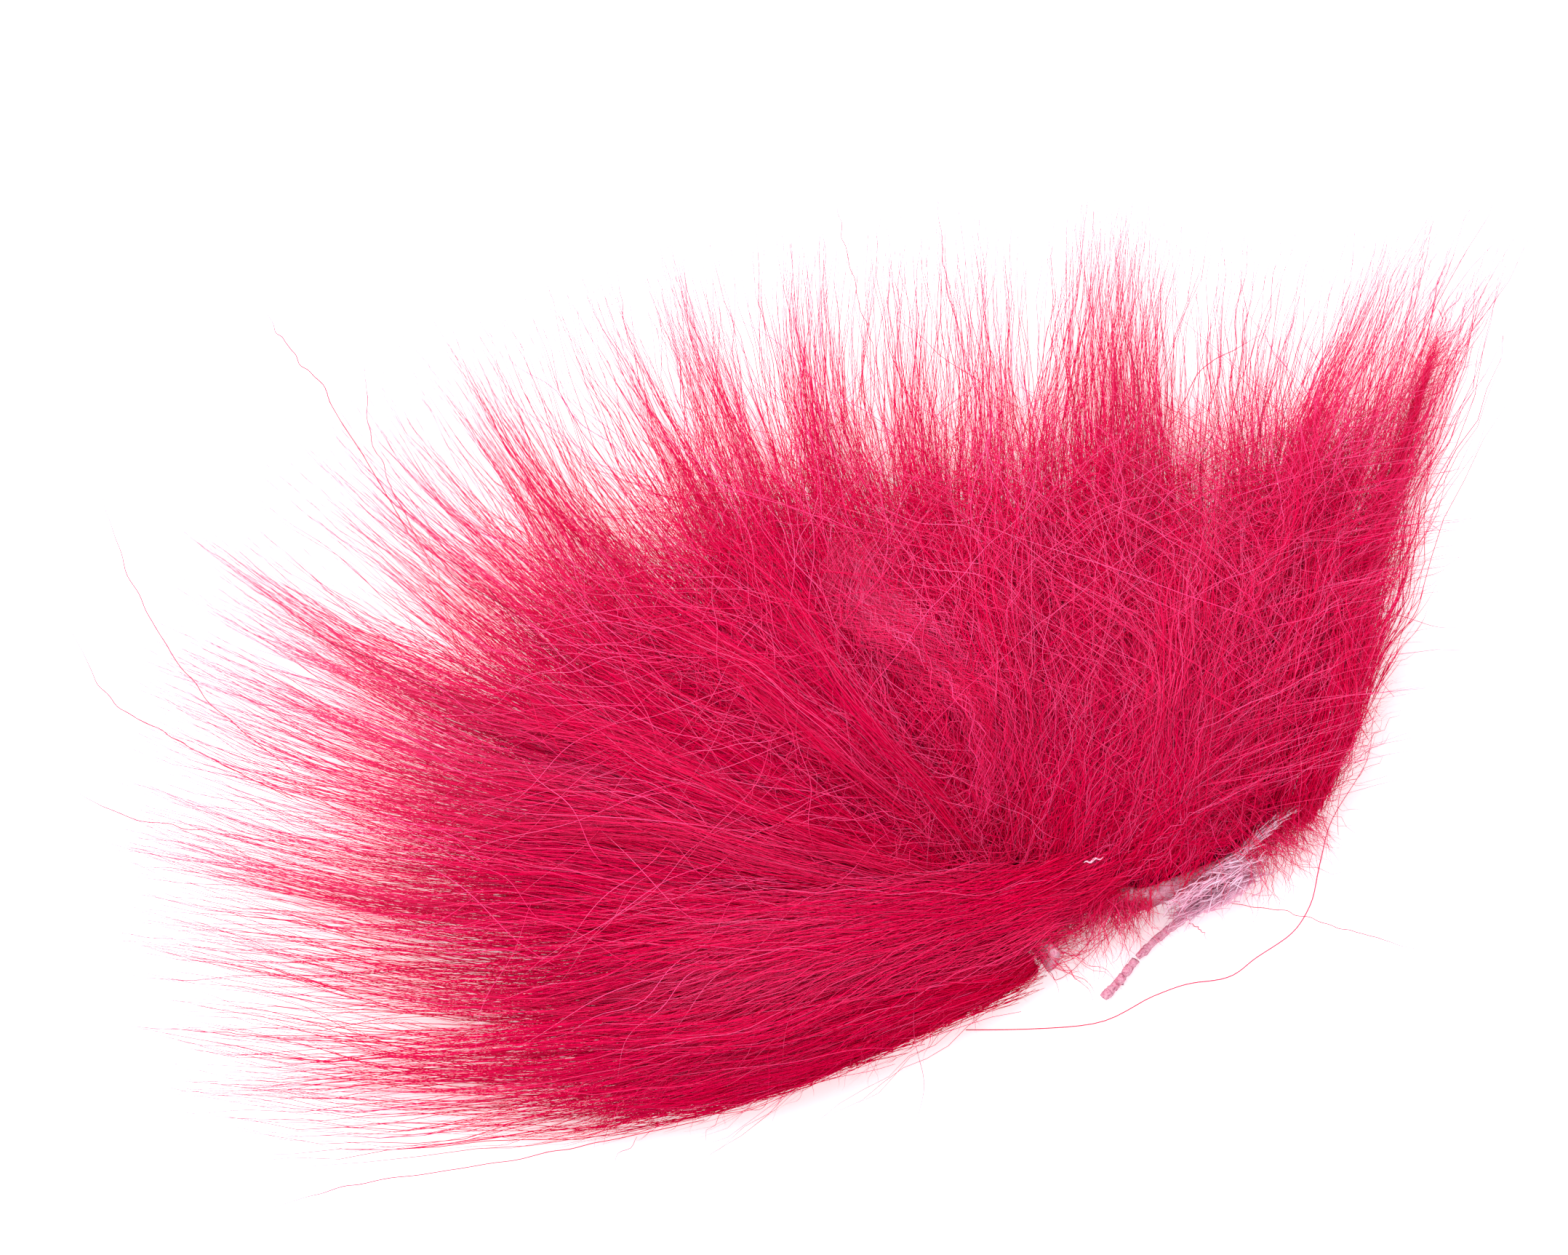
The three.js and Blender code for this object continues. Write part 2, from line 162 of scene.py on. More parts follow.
def read_table(table, across, place):
    a = np.clip(across, 0, 1) * ACROSS_STEPS
    p = np.clip(place / FARTHEST, 0, 1) * PLACE_STEPS
    a0 = np.minimum(a.astype(int), ACROSS_STEPS - 1)
    p0 = np.minimum(p.astype(int), PLACE_STEPS - 1)
    fa, fp = (a - a0)[..., None], (p - p0)[..., None]
    near = table[a0, p0] * (1 - fa) + table[a0 + 1, p0] * fa
    far = table[a0, p0 + 1] * (1 - fa) + table[a0 + 1, p0 + 1] * fa
    return near * (1 - fp) + far * fp


print("fan spans", (FAN[..., 0].max() - FAN[..., 0].min()).round(1), "mm in plan")

# %% [markdown]
# ## How high the fur stands
#
# The pile rises quickly from the hide, is fullest a third of the way out and thins towards the tips. It rounds
# off at both ends of the fan, and it isn't smooth: hair stands in low tufts with hollows between. The same
# heights are also kept as a map over the table, so that a loose hair that crosses the fur in any direction can
# be laid on top of it.

# %% Pile height
RISE_PLACES = [0.0, 0.05, 0.12, 0.24, 0.36, 0.48, 0.6, 0.7, 0.85, 1.0, 1.3]
RISE = [0.42, 0.5, 0.72, 0.95, 1.0, 0.9, 0.74, 0.6, 0.4, 0.27, 0.2]
PILE_ACROSS = [0.8, 0.86, 1.0, 1.06, 0.94]
SHOULDER = 0.13
EDGE = 0.03


def rounded(distance):
    """0 at the edge of the fan and 1 past the shoulder, on a quarter circle."""
    share = np.clip(distance / SHOULDER, 0, 1)
    return np.sqrt(1 - (1 - share)**2)


def pile_top(across, place):
    """How high the fur stands, in mm."""
    along = np.interp(place, RISE_PLACES, RISE)
    broad = 1 + 0.055 * np.sin(2 * np.pi * (across * 6.3 + 0.25 * np.sin(place * 6.0)))
    narrow = 1 + 0.04 * np.sin(2 * np.pi * (across * 15.7 - place * 1.3 + 0.4))
    ends = 0.35 + 0.65 * np.minimum(rounded(across - EDGE), rounded(1.0 - across))
    full = np.interp(across, np.linspace(0, 1, len(PILE_ACROSS)), PILE_ACROSS)
    return PILE_HEIGHT * along * full * broad * narrow * ends


MAP_CORNER = np.array([-95.0, -50.0])
MAP_SIZE = (160, 130)
HIDE_COVER = 7.6


def height_map():
    heights = np.zeros(MAP_SIZE)
    across = np.linspace(EDGE, 1, ACROSS_STEPS + 1)
    grid_across, grid_place = np.meshgrid(across, np.linspace(0, FARTHEST, 400), indexing="ij")
    spots = read_table(FAN, grid_across, grid_place).reshape(-1, 2)
    tops = pile_top(grid_across, grid_place).ravel()
    hide_line = [hide_point(place, offset) for place in np.linspace(-LEFT, HIDE_END, 120)
                 for offset in (-1.6, -0.8, 0.0, 0.8)]
    spots = np.concatenate([spots, hide_line])
    tops = np.concatenate([tops, np.full(len(hide_line), HIDE_COVER)])
    cells = np.clip((spots - MAP_CORNER).astype(int), 0, np.array(MAP_SIZE) - 1)
    np.maximum.at(heights, (cells[:, 0], cells[:, 1]), tops)
    for _ in range(3):
        padded = np.pad(heights, 1, mode="edge")
        heights = sum(padded[i:i + MAP_SIZE[0], j:j + MAP_SIZE[1]] for i in range(3) for j in range(3)) / 9
    return heights


HEIGHTS = height_map()


def top_at(plan):
    """The height of the fur under any plan points."""
    spot = np.clip(plan - MAP_CORNER - 0.5, 0, np.array(MAP_SIZE) - 1.001)
    cell = spot.astype(int)
    fx, fy = spot[..., 0] - cell[..., 0], spot[..., 1] - cell[..., 1]
    i, j = cell[..., 0], cell[..., 1]
    i1, j1 = np.minimum(i + 1, MAP_SIZE[0] - 1), np.minimum(j + 1, MAP_SIZE[1] - 1)
    low = HEIGHTS[i, j] * (1 - fx) + HEIGHTS[i1, j] * fx
    high = HEIGHTS[i, j1] * (1 - fx) + HEIGHTS[i1, j1] * fx
    return low * (1 - fy) + high * fy


print("fur stands up to", HEIGHTS.max().round(1), "mm")

# %% [markdown]
# ## Spinning hairs into mesh
#
# A hair is a thread that tapers to a point. Three sides are enough for something a tenth of a millimetre thick,
# because smooth shading rounds it, and three sides keep a whole lock light. Both ends are closed, so every hair
# is a solid. Each hair also gets its own thin strip of a texture map: along the strip is root to tip, and the
# strip's height on the map is a shade number. One dye material reads both, so hairs that share a spot on the
# map share a colour.

# %% The spinner
SHADE_MAP = "OFBake"
STRIP = 0.012


def steady(direction):
    length = np.linalg.norm(direction, axis=-1, keepdims=True)
    return direction / np.maximum(length, 1e-9)


def make_mesh(name, vertices, faces, face_sizes, map_spots, material):
    """A smooth-shaded object from flat arrays. vertices are in mm, faces is one long row of corner numbers."""
    mesh = bpy.data.meshes.new(name)
    mesh.vertices.add(len(vertices))
    mesh.vertices.foreach_set("co", (vertices * MM).astype(np.float32).ravel())
    starts = np.concatenate([[0], np.cumsum(face_sizes)[:-1]]).astype(np.int32)
    mesh.loops.add(len(faces))
    mesh.loops.foreach_set("vertex_index", faces.astype(np.int32))
    mesh.polygons.add(len(face_sizes))
    mesh.polygons.foreach_set("loop_start", starts)
    mesh.polygons.foreach_set("use_smooth", np.ones(len(face_sizes), bool))
    layer = mesh.uv_layers.new(name=SHADE_MAP)
    layer.uv.foreach_set("vector", map_spots.astype(np.float32).ravel())
    mesh.update(calc_edges=True)
    mesh.materials.append(material)
    piece = bpy.data.objects.new(name, mesh)
    bpy.context.scene.collection.objects.link(piece)
    return piece


def spin(name, paths, widths, shades, material, seed=0):
    """One mesh of tapering three-sided hairs. paths is (hairs, points, 3) in mm and widths the diameters."""
    rng = np.random.default_rng(seed)
    hairs, points = paths.shape[:2]
    run = steady(np.gradient(paths, axis=1))
    up = steady(np.array([0.0, 0.0, 1.0]) + rng.normal(0, 0.25, (hairs, 1, 3)))
    side = steady(np.cross(run, np.broadcast_to(up, run.shape)))
    other = np.cross(run, side)
    turn = rng.uniform(0, 2 * np.pi, (hairs, 1, 1))
    rings = []
    for k in range(3):
        angle = turn + k * 2 * np.pi / 3
        rings.append(paths + (side * np.cos(angle) + other * np.sin(angle)) * widths[..., None] / 2)
    vertices = np.stack(rings, axis=2).reshape(-1, 3)

    base = (np.arange(hairs) * points * 3)[:, None, None]
    ring = (np.arange(points - 1) * 3)[None, :, None]
    k = np.arange(3)[None, None, :]
    j = (k + 1) % 3
    quads = np.stack([base + ring + k, base + ring + j, base + ring + 3 + j, base + ring + 3 + k], axis=-1)
    ends = base[:, 0, 0][:, None]
    last = (points - 1) * 3
    caps = np.concatenate([ends + np.array([2, 1, 0]), ends + last + np.array([0, 1, 2])], axis=0)

    along = np.linspace(0.01, 0.99, points)
    shade = np.clip(shades, 0.02, 0.98 - STRIP)[:, None, None]
    low = np.broadcast_to(shade + STRIP * k / 3, (hairs, points - 1, 3))
    high = low + STRIP / 3
    u0 = np.broadcast_to(along[None, :-1, None], low.shape)
    u1 = np.broadcast_to(along[None, 1:, None], low.shape)
    quad_spots = np.stack([u0, low, u0, high, u1, high, u1, low], axis=-1).reshape(-1, 2)
    cap = np.array([[0, 0], [0, 1], [1, 0]]) * 0.008
    root_spots = np.stack([np.full(hairs, 0.002), shade[:, 0, 0]], axis=-1)[:, None, :] + cap
    tip_spots = np.stack([np.full(hairs, 0.99), shade[:, 0, 0]], axis=-1)[:, None, :] + cap
    spots = np.concatenate([quad_spots, root_spots.reshape(-1, 2), tip_spots.reshape(-1, 2)])
    faces = np.concatenate([quads.ravel(), caps.ravel()])
    sizes = np.concatenate([np.full(quads.size // 4, 4), np.full(len(caps), 3)])
    return make_mesh(name, vertices, faces, sizes, spots, material)


def taper(points, thick, root=0.75, tip=0.12, full_until=0.55):
    """Hair widths: a little thin at the root, full in the middle, drawn out to the tip."""
    shape = np.interp(np.linspace(0, 1, points), [0, 0.12, full_until, 0.85, 1], [root, 1, 1, 0.5, tip])
    return np.asarray(thick).reshape(-1, 1) * shape


# %% [markdown]
# ## The dye
#
# Dyed fur is darkest near the skin and lightens towards the tips, and no two hairs take the dye alike. The paler
# tips are partly painted light, standing in for light on the thin ends. The material reads the shade map: left
# to right is root to tip, bottom to top is dark hair to light hair. A dark and a light colour ramp run from root
# to tip, and the shade number mixes them. The gloss is left out, because fine hair in a mass scatters light
# instead of mirroring it, and a gloss would turn crimson into grey. The light ramp paints the sheen in instead,
# so the lightest hairs are partly painted sheen.

# %% Dye material
SHADE_BEND = 2.0


def new_material(name):
    material = bpy.data.materials.new(name)
    material.use_nodes = True
    nodes = material.node_tree.nodes
    return material, nodes, material.node_tree.links, nodes["Principled BSDF"]


def add_node(nodes, kind, **values):
    """A new shader node. Each value is set on the input of that name, an underscore standing for a space."""
    node = nodes.new(kind)
    for name, value in values.items():
        node.inputs[name.replace("_", " ")].default_value = value
    return node


def add_bump(nodes, links, surface, height, strength, depth):
    bump = add_node(nodes, "ShaderNodeBump", Strength=strength, Distance=depth)
    links.new(height, bump.inputs["Height"])
    links.new(bump.outputs["Normal"], surface.inputs["Normal"])


def vary_roughness(nodes, links, surface, driver, low, high):
    gloss = add_node(nodes, "ShaderNodeMapRange", To_Min=low, To_Max=high)
    links.new(driver, gloss.inputs["Value"])
    links.new(gloss.outputs["Result"], surface.inputs["Roughness"])


def shade_map_spot(nodes):
    spot = nodes.new("ShaderNodeUVMap")
    spot.uv_map = SHADE_MAP
    return spot.outputs["UV"]


def colour_ramp(nodes, stops):
    ramp = nodes.new("ShaderNodeValToRGB")
    elements = ramp.color_ramp.elements
    while len(elements) < len(stops):
        elements.new(0.5)
    for element, (place, colour) in zip(elements, stops):
        element.position = place
        element.color = (*colour, 1.0)
    return ramp


def dye(name, dark, light, roughness=(0.62, 0.42)):
    material, nodes, links, surface = new_material(name)
    split = nodes.new("ShaderNodeSeparateXYZ")
    links.new(shade_map_spot(nodes), split.inputs["Vector"])
    mix = nodes.new("ShaderNodeMix")
    mix.data_type = "RGBA"
    bend = nodes.new("ShaderNodeMath")
    bend.operation = "POWER"
    bend.inputs[1].default_value = SHADE_BEND
    links.new(split.outputs["Y"], bend.inputs[0])
    links.new(bend.outputs["Value"], mix.inputs["Factor"])
    for socket, stops in (("A", dark), ("B", light)):
        ramp = colour_ramp(nodes, stops)
        links.new(split.outputs["X"], ramp.inputs["Fac"])
        links.new(ramp.outputs["Color"], mix.inputs[socket])
    links.new(mix.outputs["Result"], surface.inputs["Base Color"])
    vary_roughness(nodes, links, surface, split.outputs["Y"], *roughness)
    surface.inputs["Specular IOR Level"].default_value = 0.0
    return material


# The light ramps are partly painted sheen, and the paler tips are partly painted light on the thin ends.
GUARD_DYE = dye(
    "guard_hair_dye",
    dark=[(0.0, (0.72, 0.0003, 0.050)), (0.5, (0.76, 0.0008, 0.072)), (1.0, (0.87, 0.034, 0.175))],
    light=[(0.0, (0.88, 0.006, 0.11)), (0.5, (0.98, 0.055, 0.24)), (1.0, (0.98, 0.25, 0.45))])
CROWN_DYE = dye(
    "crown_hair_dye",
    dark=[(0.0, (0.72, 0.0003, 0.048)), (0.5, (0.77, 0.0008, 0.072)), (1.0, (0.83, 0.004, 0.10))],
    light=[(0.0, (0.94, 0.026, 0.18)), (0.5, (0.98, 0.095, 0.31)), (1.0, (0.98, 0.18, 0.41))],
    roughness=(0.7, 0.5))
DARK_DYE = dye("dark_hair_dye", dark=[(0.0, (0.30, 0.004, 0.03)), (1.0, (0.22, 0.02, 0.04))],
               light=[(0.0, (0.55, 0.01, 0.06)), (1.0, (0.34, 0.06, 0.09))])
print("dyes:", [m.name for m in bpy.data.materials if m.name.endswith("dye")])

# %% [markdown]
# ## What each piece rides on
#
# The scrap bends at its fold and again further right. A piece away from the bends rides on the stretch of hide
# that it grows from, and a piece next to a bend keeps its place, with its placing baked into the mesh.

# %% Bodies
GUARD_LOCKS = 18
CROWN_LOCKS = 9
LEFT_LOCKS, CENTRE_LOCKS = 8, 14


def over_fold(piece):
    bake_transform(piece)


def over_bend(piece):
    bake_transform(piece)


def seat_lock(piece, first, last):
    """first and last are the lock's edges, counted in guard locks."""
    if LEFT_LOCKS - 3 <= first and last <= LEFT_LOCKS + 3:
        over_fold(piece)
    elif CENTRE_LOCKS - 3 <= first and last <= CENTRE_LOCKS + 3:
        over_bend(piece)
    elif last <= LEFT_LOCKS:
        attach(piece, "left_wing")
    else:
        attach(piece, "right_wing")


# %% [markdown]
# ## Underfur
#
# Under the long hair sits the down: short, crimped, so dense that it felts together. Nobody sees single hairs in
# it, so it is made as four closed mats with a streaky, lumpy top. They fill the pile to a little below its
# surface, and the colour that shows between the hairs above is theirs. The mats are dyed darker than the hair, so
# they are partly painted shade in the gaps between the hairs.

# %% Felted mats
MAT_FILL = 0.82
MAT_ENDS = ([0.0, 0.15, 0.35, 0.5, 0.82, 1.0], [0.43, 0.48, 0.53, 0.565, 0.55, 0.4])
MAT_PLACES, MAT_COLUMNS = 110, 70
MAT_BOTTOM = 0.2
FELT_STRETCH = (9.0, 70.0, 1.0)
# Darker than the hair dyes: partly the down's own colour, partly painted shade for the gaps between hairs.
FELT_AND_GAP_SHADE_COLOURS = [(0.3, (0.50, 0.0002, 0.033)), (0.5, (0.66, 0.0004, 0.055)), (0.72, (0.80, 0.002, 0.09))]


def felt_material():
    material, nodes, links, surface = new_material("felted_underfur")
    stretch = add_node(nodes, "ShaderNodeMapping", Scale=FELT_STRETCH)
    links.new(shade_map_spot(nodes), stretch.inputs["Vector"])
    streaks = add_node(nodes, "ShaderNodeTexNoise", Scale=2.5, Detail=8.0, Roughness=0.7, Distortion=0.8)
    links.new(stretch.outputs["Vector"], streaks.inputs["Vector"])
    ramp = colour_ramp(nodes, FELT_AND_GAP_SHADE_COLOURS)
    links.new(streaks.outputs["Fac"], ramp.inputs["Fac"])
    links.new(ramp.outputs["Color"], surface.inputs["Base Color"])
    add_bump(nodes, links, surface, streaks.outputs["Fac"], 0.8, 0.4 * MM)
    surface.inputs["Roughness"].default_value = 0.95
    surface.inputs["Specular IOR Level"].default_value = 0.0
    return material


def soft_noise(rng, rows, columns, passes):
    """Random heights smoothed by neighbours, back to a spread of 1."""
    field = rng.normal(size=(rows, columns))
    for _ in range(passes):
        padded = np.pad(field, 1, mode="edge")
        field = (padded[:-2, 1:-1] + padded[2:, 1:-1] + padded[1:-1, :-2] + padded[1:-1, 2:] + field) / 5
    return field / field.std()


def mat_solid(name, left, right, material, seed):
    """A closed mat between two hair lines: a shaped top, a flat bottom and four walls."""
    rng = np.random.default_rng(seed)
    across, share = np.meshgrid(np.linspace(left, right, MAT_COLUMNS), np.linspace(0.006, 1, MAT_PLACES),
                                indexing="ij")
    place = share * np.interp(across, *MAT_ENDS)
    uneven = 1 + 0.05 * soft_noise(rng, MAT_COLUMNS, 3, 1)[:, 1:2]
    plan = read_table(FAN, across, place * uneven)
    thin_out = np.clip((1 - share) / 0.5, 0, 1)**0.8
    rise = np.sqrt(np.clip(place / 0.03, 0.25, 1))
    lumps = 1 + 0.03 * soft_noise(rng, MAT_COLUMNS, MAT_PLACES, 3)
    top = np.maximum(pile_top(across, place) * MAT_FILL * thin_out * rise * lumps, 0.5)
    upper = raised(plan, top).reshape(-1, 3)
    lower = raised(plan, np.full_like(top, MAT_BOTTOM)).reshape(-1, 3)
    number = np.arange(MAT_COLUMNS * MAT_PLACES).reshape(MAT_COLUMNS, MAT_PLACES)
    quads = np.stack([number[:-1, :-1], number[:-1, 1:], number[1:, 1:], number[1:, :-1]], axis=-1).reshape(-1, 4)
    rim = np.concatenate([number[:, 0], number[-1, 1:], number[-2::-1, -1], number[0, -2:0:-1]])
    after = np.roll(rim, -1)
    under = len(upper)
    walls = np.stack([rim, after, after + under, rim + under], axis=-1)
    faces = np.concatenate([quads, quads[:, ::-1] + under, walls])

    u = share.ravel() * 0.96 + 0.02
    v = np.linspace(0, 1, MAT_COLUMNS)[:, None].repeat(MAT_PLACES, 1).ravel()
    top_spots = np.stack([u, 0.5 + 0.46 * v], axis=-1)
    low_spots = np.stack([u, 0.04 + 0.4 * v], axis=-1)
    rim_share = np.arange(len(rim)) / len(rim)
    wall_u = np.stack([rim_share, rim_share + 0.7 / len(rim), rim_share + 0.7 / len(rim), rim_share], axis=-1)
    wall_v = np.broadcast_to(np.array([0.49, 0.49, 0.46, 0.46]), wall_u.shape)
    spots = np.concatenate([top_spots[quads.ravel()], low_spots[quads[:, ::-1].ravel()],
                            np.stack([wall_u.ravel(), wall_v.ravel()], axis=-1)])
    return make_mesh(name, np.concatenate([upper, lower]), faces.ravel(), np.full(len(faces), 4), spots, material)


FELT = felt_material()
MATS = [("felt_left", EDGE, 8, "underfur_left"), ("felt_centre_left", 8, 11, "underfur_centre"),
        ("felt_centre_right", 11, 14, "underfur_centre"), ("felt_right", 14, 17.9, "underfur_right")]
for number, (name, first, last, node) in enumerate(MATS):
    left = first if first < 1 else first / GUARD_LOCKS
    mat = mat_solid(name, left, last / GUARD_LOCKS, FELT, 300 + number)
    if number < 2:
        over_fold(mat)
    else:
        over_bend(mat)
    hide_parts(node)
    print(name, "has", len(mat.data.polygons), "faces")

# %% [markdown]
# ## Guard hair
#
# Guard hair is the long straight hair that shows round the edge. Combed hairs that grow side by side drift
# together towards their tips, so each lock ends in a few points. To lay a lock, the script first places its
# wisps, then lets every hair start at its own root and lean more and more on its wisp. Lengths differ a lot:
# most hairs stop well short of the longest, so the edge thins out instead of ending in a line.

# %% Laying a guard lock
LIFT_OFF = 0.2
THICK_TO = ([0.0, 0.15, 0.3, 0.5, 1.0], [0.32, 0.36, 0.41, 0.425, 0.405])
LONGEST = ([0.0, 0.1, 0.35, 0.6, 0.85, 1.0], [70, 78, 80, 64, 62, 62])
RIGHT_BULGE = 3.2
FAN_END = 0.99
CORNER, PEAK, NOTCH = (0.925, 0.035), (0.56, 0.1), (0.79, 0.014)
# More light hairs towards the right: painted light that lifts the pile's own shade there, and painted sheen.
LIGHT_AND_SHEEN_SHARES = ([0.0, 0.35, 0.55, 1.0], [0.05, 0.07, 0.13, 0.2])
# Painted light and shade towards the tips, read across the fan: lighter on the left part, where light shines through
# the thin fringe, darker just right of the middle as painted shade, and lighter on the right, lifting the pile's own
# shade.
PAINTED_TIP_LIGHT_AND_SHADE = ([0.0, 0.1, 0.2, 0.3, 0.42, 0.5, 0.65, 0.8, 1.0],
             [0.12, 0.15, 0.62, 0.8, 0.36, -0.08, -0.06, 0.36, 0.5])


def ease(value, low, high):
    share = np.clip((value - low) / (high - low), 0, 1)
    return share * share * (3 - 2 * share)


def tone_and_painted_light(across, place):
    """Random slow drifts of tone, plus painted light and shade towards the tips, read from the table above."""
    drift = 0.05 * np.sin(2 * np.pi * (across * 2.6 + 0.3 * np.sin(place * 5.0) + 0.1))
    patch = 0.05 * np.sin(2 * np.pi * (across * 6.1 + place * 2.3))
    return drift + patch + np.interp(across, *PAINTED_TIP_LIGHT_AND_SHADE) * ease(place, 0.4, 0.9) - 0.06


def light_and_sheen_share(across):
    """The share of light single hairs: partly hairs that stayed light, partly painted sheen and light."""
    return np.interp(across, *LIGHT_AND_SHEEN_SHARES)


def steps_along(points):
    return np.linspace(0, 1, points)[None, :]


def bell(value, middle, width):
    return np.exp(-((value - middle) / width)**2)


def strand_shades(rng, count, bright_share=0.24):
    """A dark shade for most strands and a clearly lighter one, partly painted sheen, for some of them."""
    bright = rng.random(count) < bright_share
    return bright, np.where(bright, rng.uniform(0.2, 0.5, count), rng.uniform(-0.08, 0.08, count))


def right_bulge(across, place):
    """How far, in mm, the hair near the right end is pushed outwards."""
    return RIGHT_BULGE * ease(across, 0.84, 1.0) * (1 - ease(place, 0.15, 0.5))


def lay(across, place, height, sideways=0.0):
    """Turns fan readings into points in mm. height is a share of the pile, sideways is in mm."""
    across = EDGE + (1 - EDGE) * np.clip(across, 0, 1)
    plan = read_table(FAN, across, place)
    run = read_table(RUNS, across, place)
    plan = plan + leftwards(run) * (sideways - right_bulge(across, place))[..., None]
    return raised(plan, LIFT_OFF + (pile_top(across, place) - LIFT_OFF) * height)


def wave(rng, along, length_mm, low, high, size):
    """A sine wave along each hair, wave lengths between low and high mm, random start."""
    hairs = along.shape[0] if along.shape[0] > 1 else len(np.atleast_1d(length_mm))
    turns = length_mm / rng.uniform(low, high, (hairs, 1))
    return size * np.sin(2 * np.pi * (along * turns + rng.uniform(0, 1, (hairs, 1))))


def turn_back(across):
    """Hairs that would leave the fan at its right end go back in, so none pile up along its last line."""
    return np.minimum(across, 2 * FAN_END - across)


def guard_lock(index, hairs=1150, points=13, wisps=7):
    rng = np.random.default_rng(1000 + index)
    hairs = int(hairs * (1 - 0.35 * ease(index, 14.5, 16.5)))
    span = 1 / GUARD_LOCKS
    splay = float(ease(index, 13.5, 16.5))
    wisp_root = (index + (np.arange(wisps) + rng.uniform(0.1, 0.9, wisps)) / wisps) * span
    wisp_tip = wisp_root + rng.normal(0, (0.24 + 0.25 * splay) * span, wisps)
    wisp_height = rng.uniform(0.1, 0.95, wisps)
    wisp_reach = rng.uniform(0.74, 1.3, wisps)
    _, wisp_shade = strand_shades(rng, wisps)
    wisp_phase = rng.uniform(0, 1, wisps)
    wisp_bend = rng.normal(-0.3, 2.6, wisps)

    which = rng.integers(0, wisps, hairs)
    own_root = wisp_root[which] + rng.normal(0, 0.24 * span, hairs)
    own_reach = wisp_reach[which] * (np.interp(own_root, *THICK_TO) + rng.exponential(0.174, hairs))
    corner = np.where(rng.random(hairs) < 0.22, rng.uniform(0.3, 0.75, hairs), 0.0) * bell(own_root, *CORNER)
    own_reach = own_reach * (1 + corner + 0.08 * bell(own_root, *PEAK))
    single = rng.random(hairs) < 0.034
    own_reach = np.where(single, rng.uniform(0.98, 1.4, hairs), own_reach)
    notch = 1 - 0.3 * bell(own_root, *NOTCH)
    longest = np.interp(own_root, *LONGEST) / (HAIR_LENGTH * smooth_read(REACHES, own_root))
    own_reach = np.clip(own_reach * notch, 0.44, longest)
    own_height = rng.uniform(0.02, 1.0, hairs)
    start = np.where(own_height < 0.8, rng.uniform(0.28, 0.42, hairs), rng.uniform(0.0, 0.06, hairs))
    along = steps_along(points)
    place = start[:, None] + along * (own_reach - start)[:, None]
    pull = np.where(rng.random(hairs) < 0.2, rng.uniform(0, 0.35, hairs),
                    rng.uniform(0.6 - 0.2 * splay, 0.97, hairs))
    lean = ease(place, 0.25, 0.98) * pull[:, None]
    across = turn_back(own_root[:, None] * (1 - lean) + wisp_tip[which][:, None] * lean)
    height = own_height[:, None] + (wisp_height[which] - own_height)[:, None] * lean * 0.6
    length_mm = HAIR_LENGTH * own_reach[:, None]
    slow = 0.6 * np.sin(2 * np.pi * (place * 1.7 + wisp_phase[which][:, None])) * ease(place, 0.1, 0.6)
    own_bend = np.where(single, rng.normal(-1.5, 4.4, hairs), rng.normal(0, 1.7 + 1.2 * splay, hairs))
    bend = np.clip(wisp_bend[which] + own_bend, -9 + 6 * ease(own_root, 0.8, 0.9), 4)[:, None]
    peel = ease(own_root, 0.9, 1.0) * rng.exponential(1.7, hairs).clip(0, 5.0)
    peel = peel[:, None] * ease(place, 0.1, 0.6)
    sideways = slow + bend * ease(place, 0.35, 1.25) + wave(rng, place, length_mm, 8, 15, 0.24) - peel
    paths = lay(across, place, np.clip(height, 0.01, 1.02), sideways)
    paths[..., 2] += wave(rng, place, length_mm, 10, 18, 0.2) * ease(place, 0.1, 0.5)
    paths[..., 2] = np.maximum(paths[..., 2], 0.12)
    widths = taper(points, rng.uniform(0.045, 0.082, hairs), tip=0.15, full_until=0.62)
    shades = np.where(rng.random(hairs) < light_and_sheen_share(own_root), rng.uniform(0.3, 0.85, hairs),
                      tone_and_painted_light(own_root, own_reach - 0.15) + wisp_shade[which] + rng.normal(0, 0.06, hairs))
    return spin(f"guard_hair_{index + 1:02d}", paths, widths, shades, GUARD_DYE, seed=index)


guard_pieces = [guard_lock(index) for index in range(GUARD_LOCKS)]
for index, piece in enumerate(guard_pieces):
    seat_lock(piece, index, index + 1)
    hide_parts(f"guard_lock_{index + 1:02d}")
print("guard locks:", len(guard_pieces), "faces:", sum(len(p.data.polygons) for p in guard_pieces))

# %% [markdown]
# ## Crown hair
#
# The top of the pile isn't the same all over. On the left it is combed out straight. From the middle to the right
# it is mostly down that has worked to the top: short crimped fibres, matted into little tufts and pointing every
# way. Each crown lock is a mix of long hairs in wisps and short fibres in tufts, and the share of down grows
# towards the right.

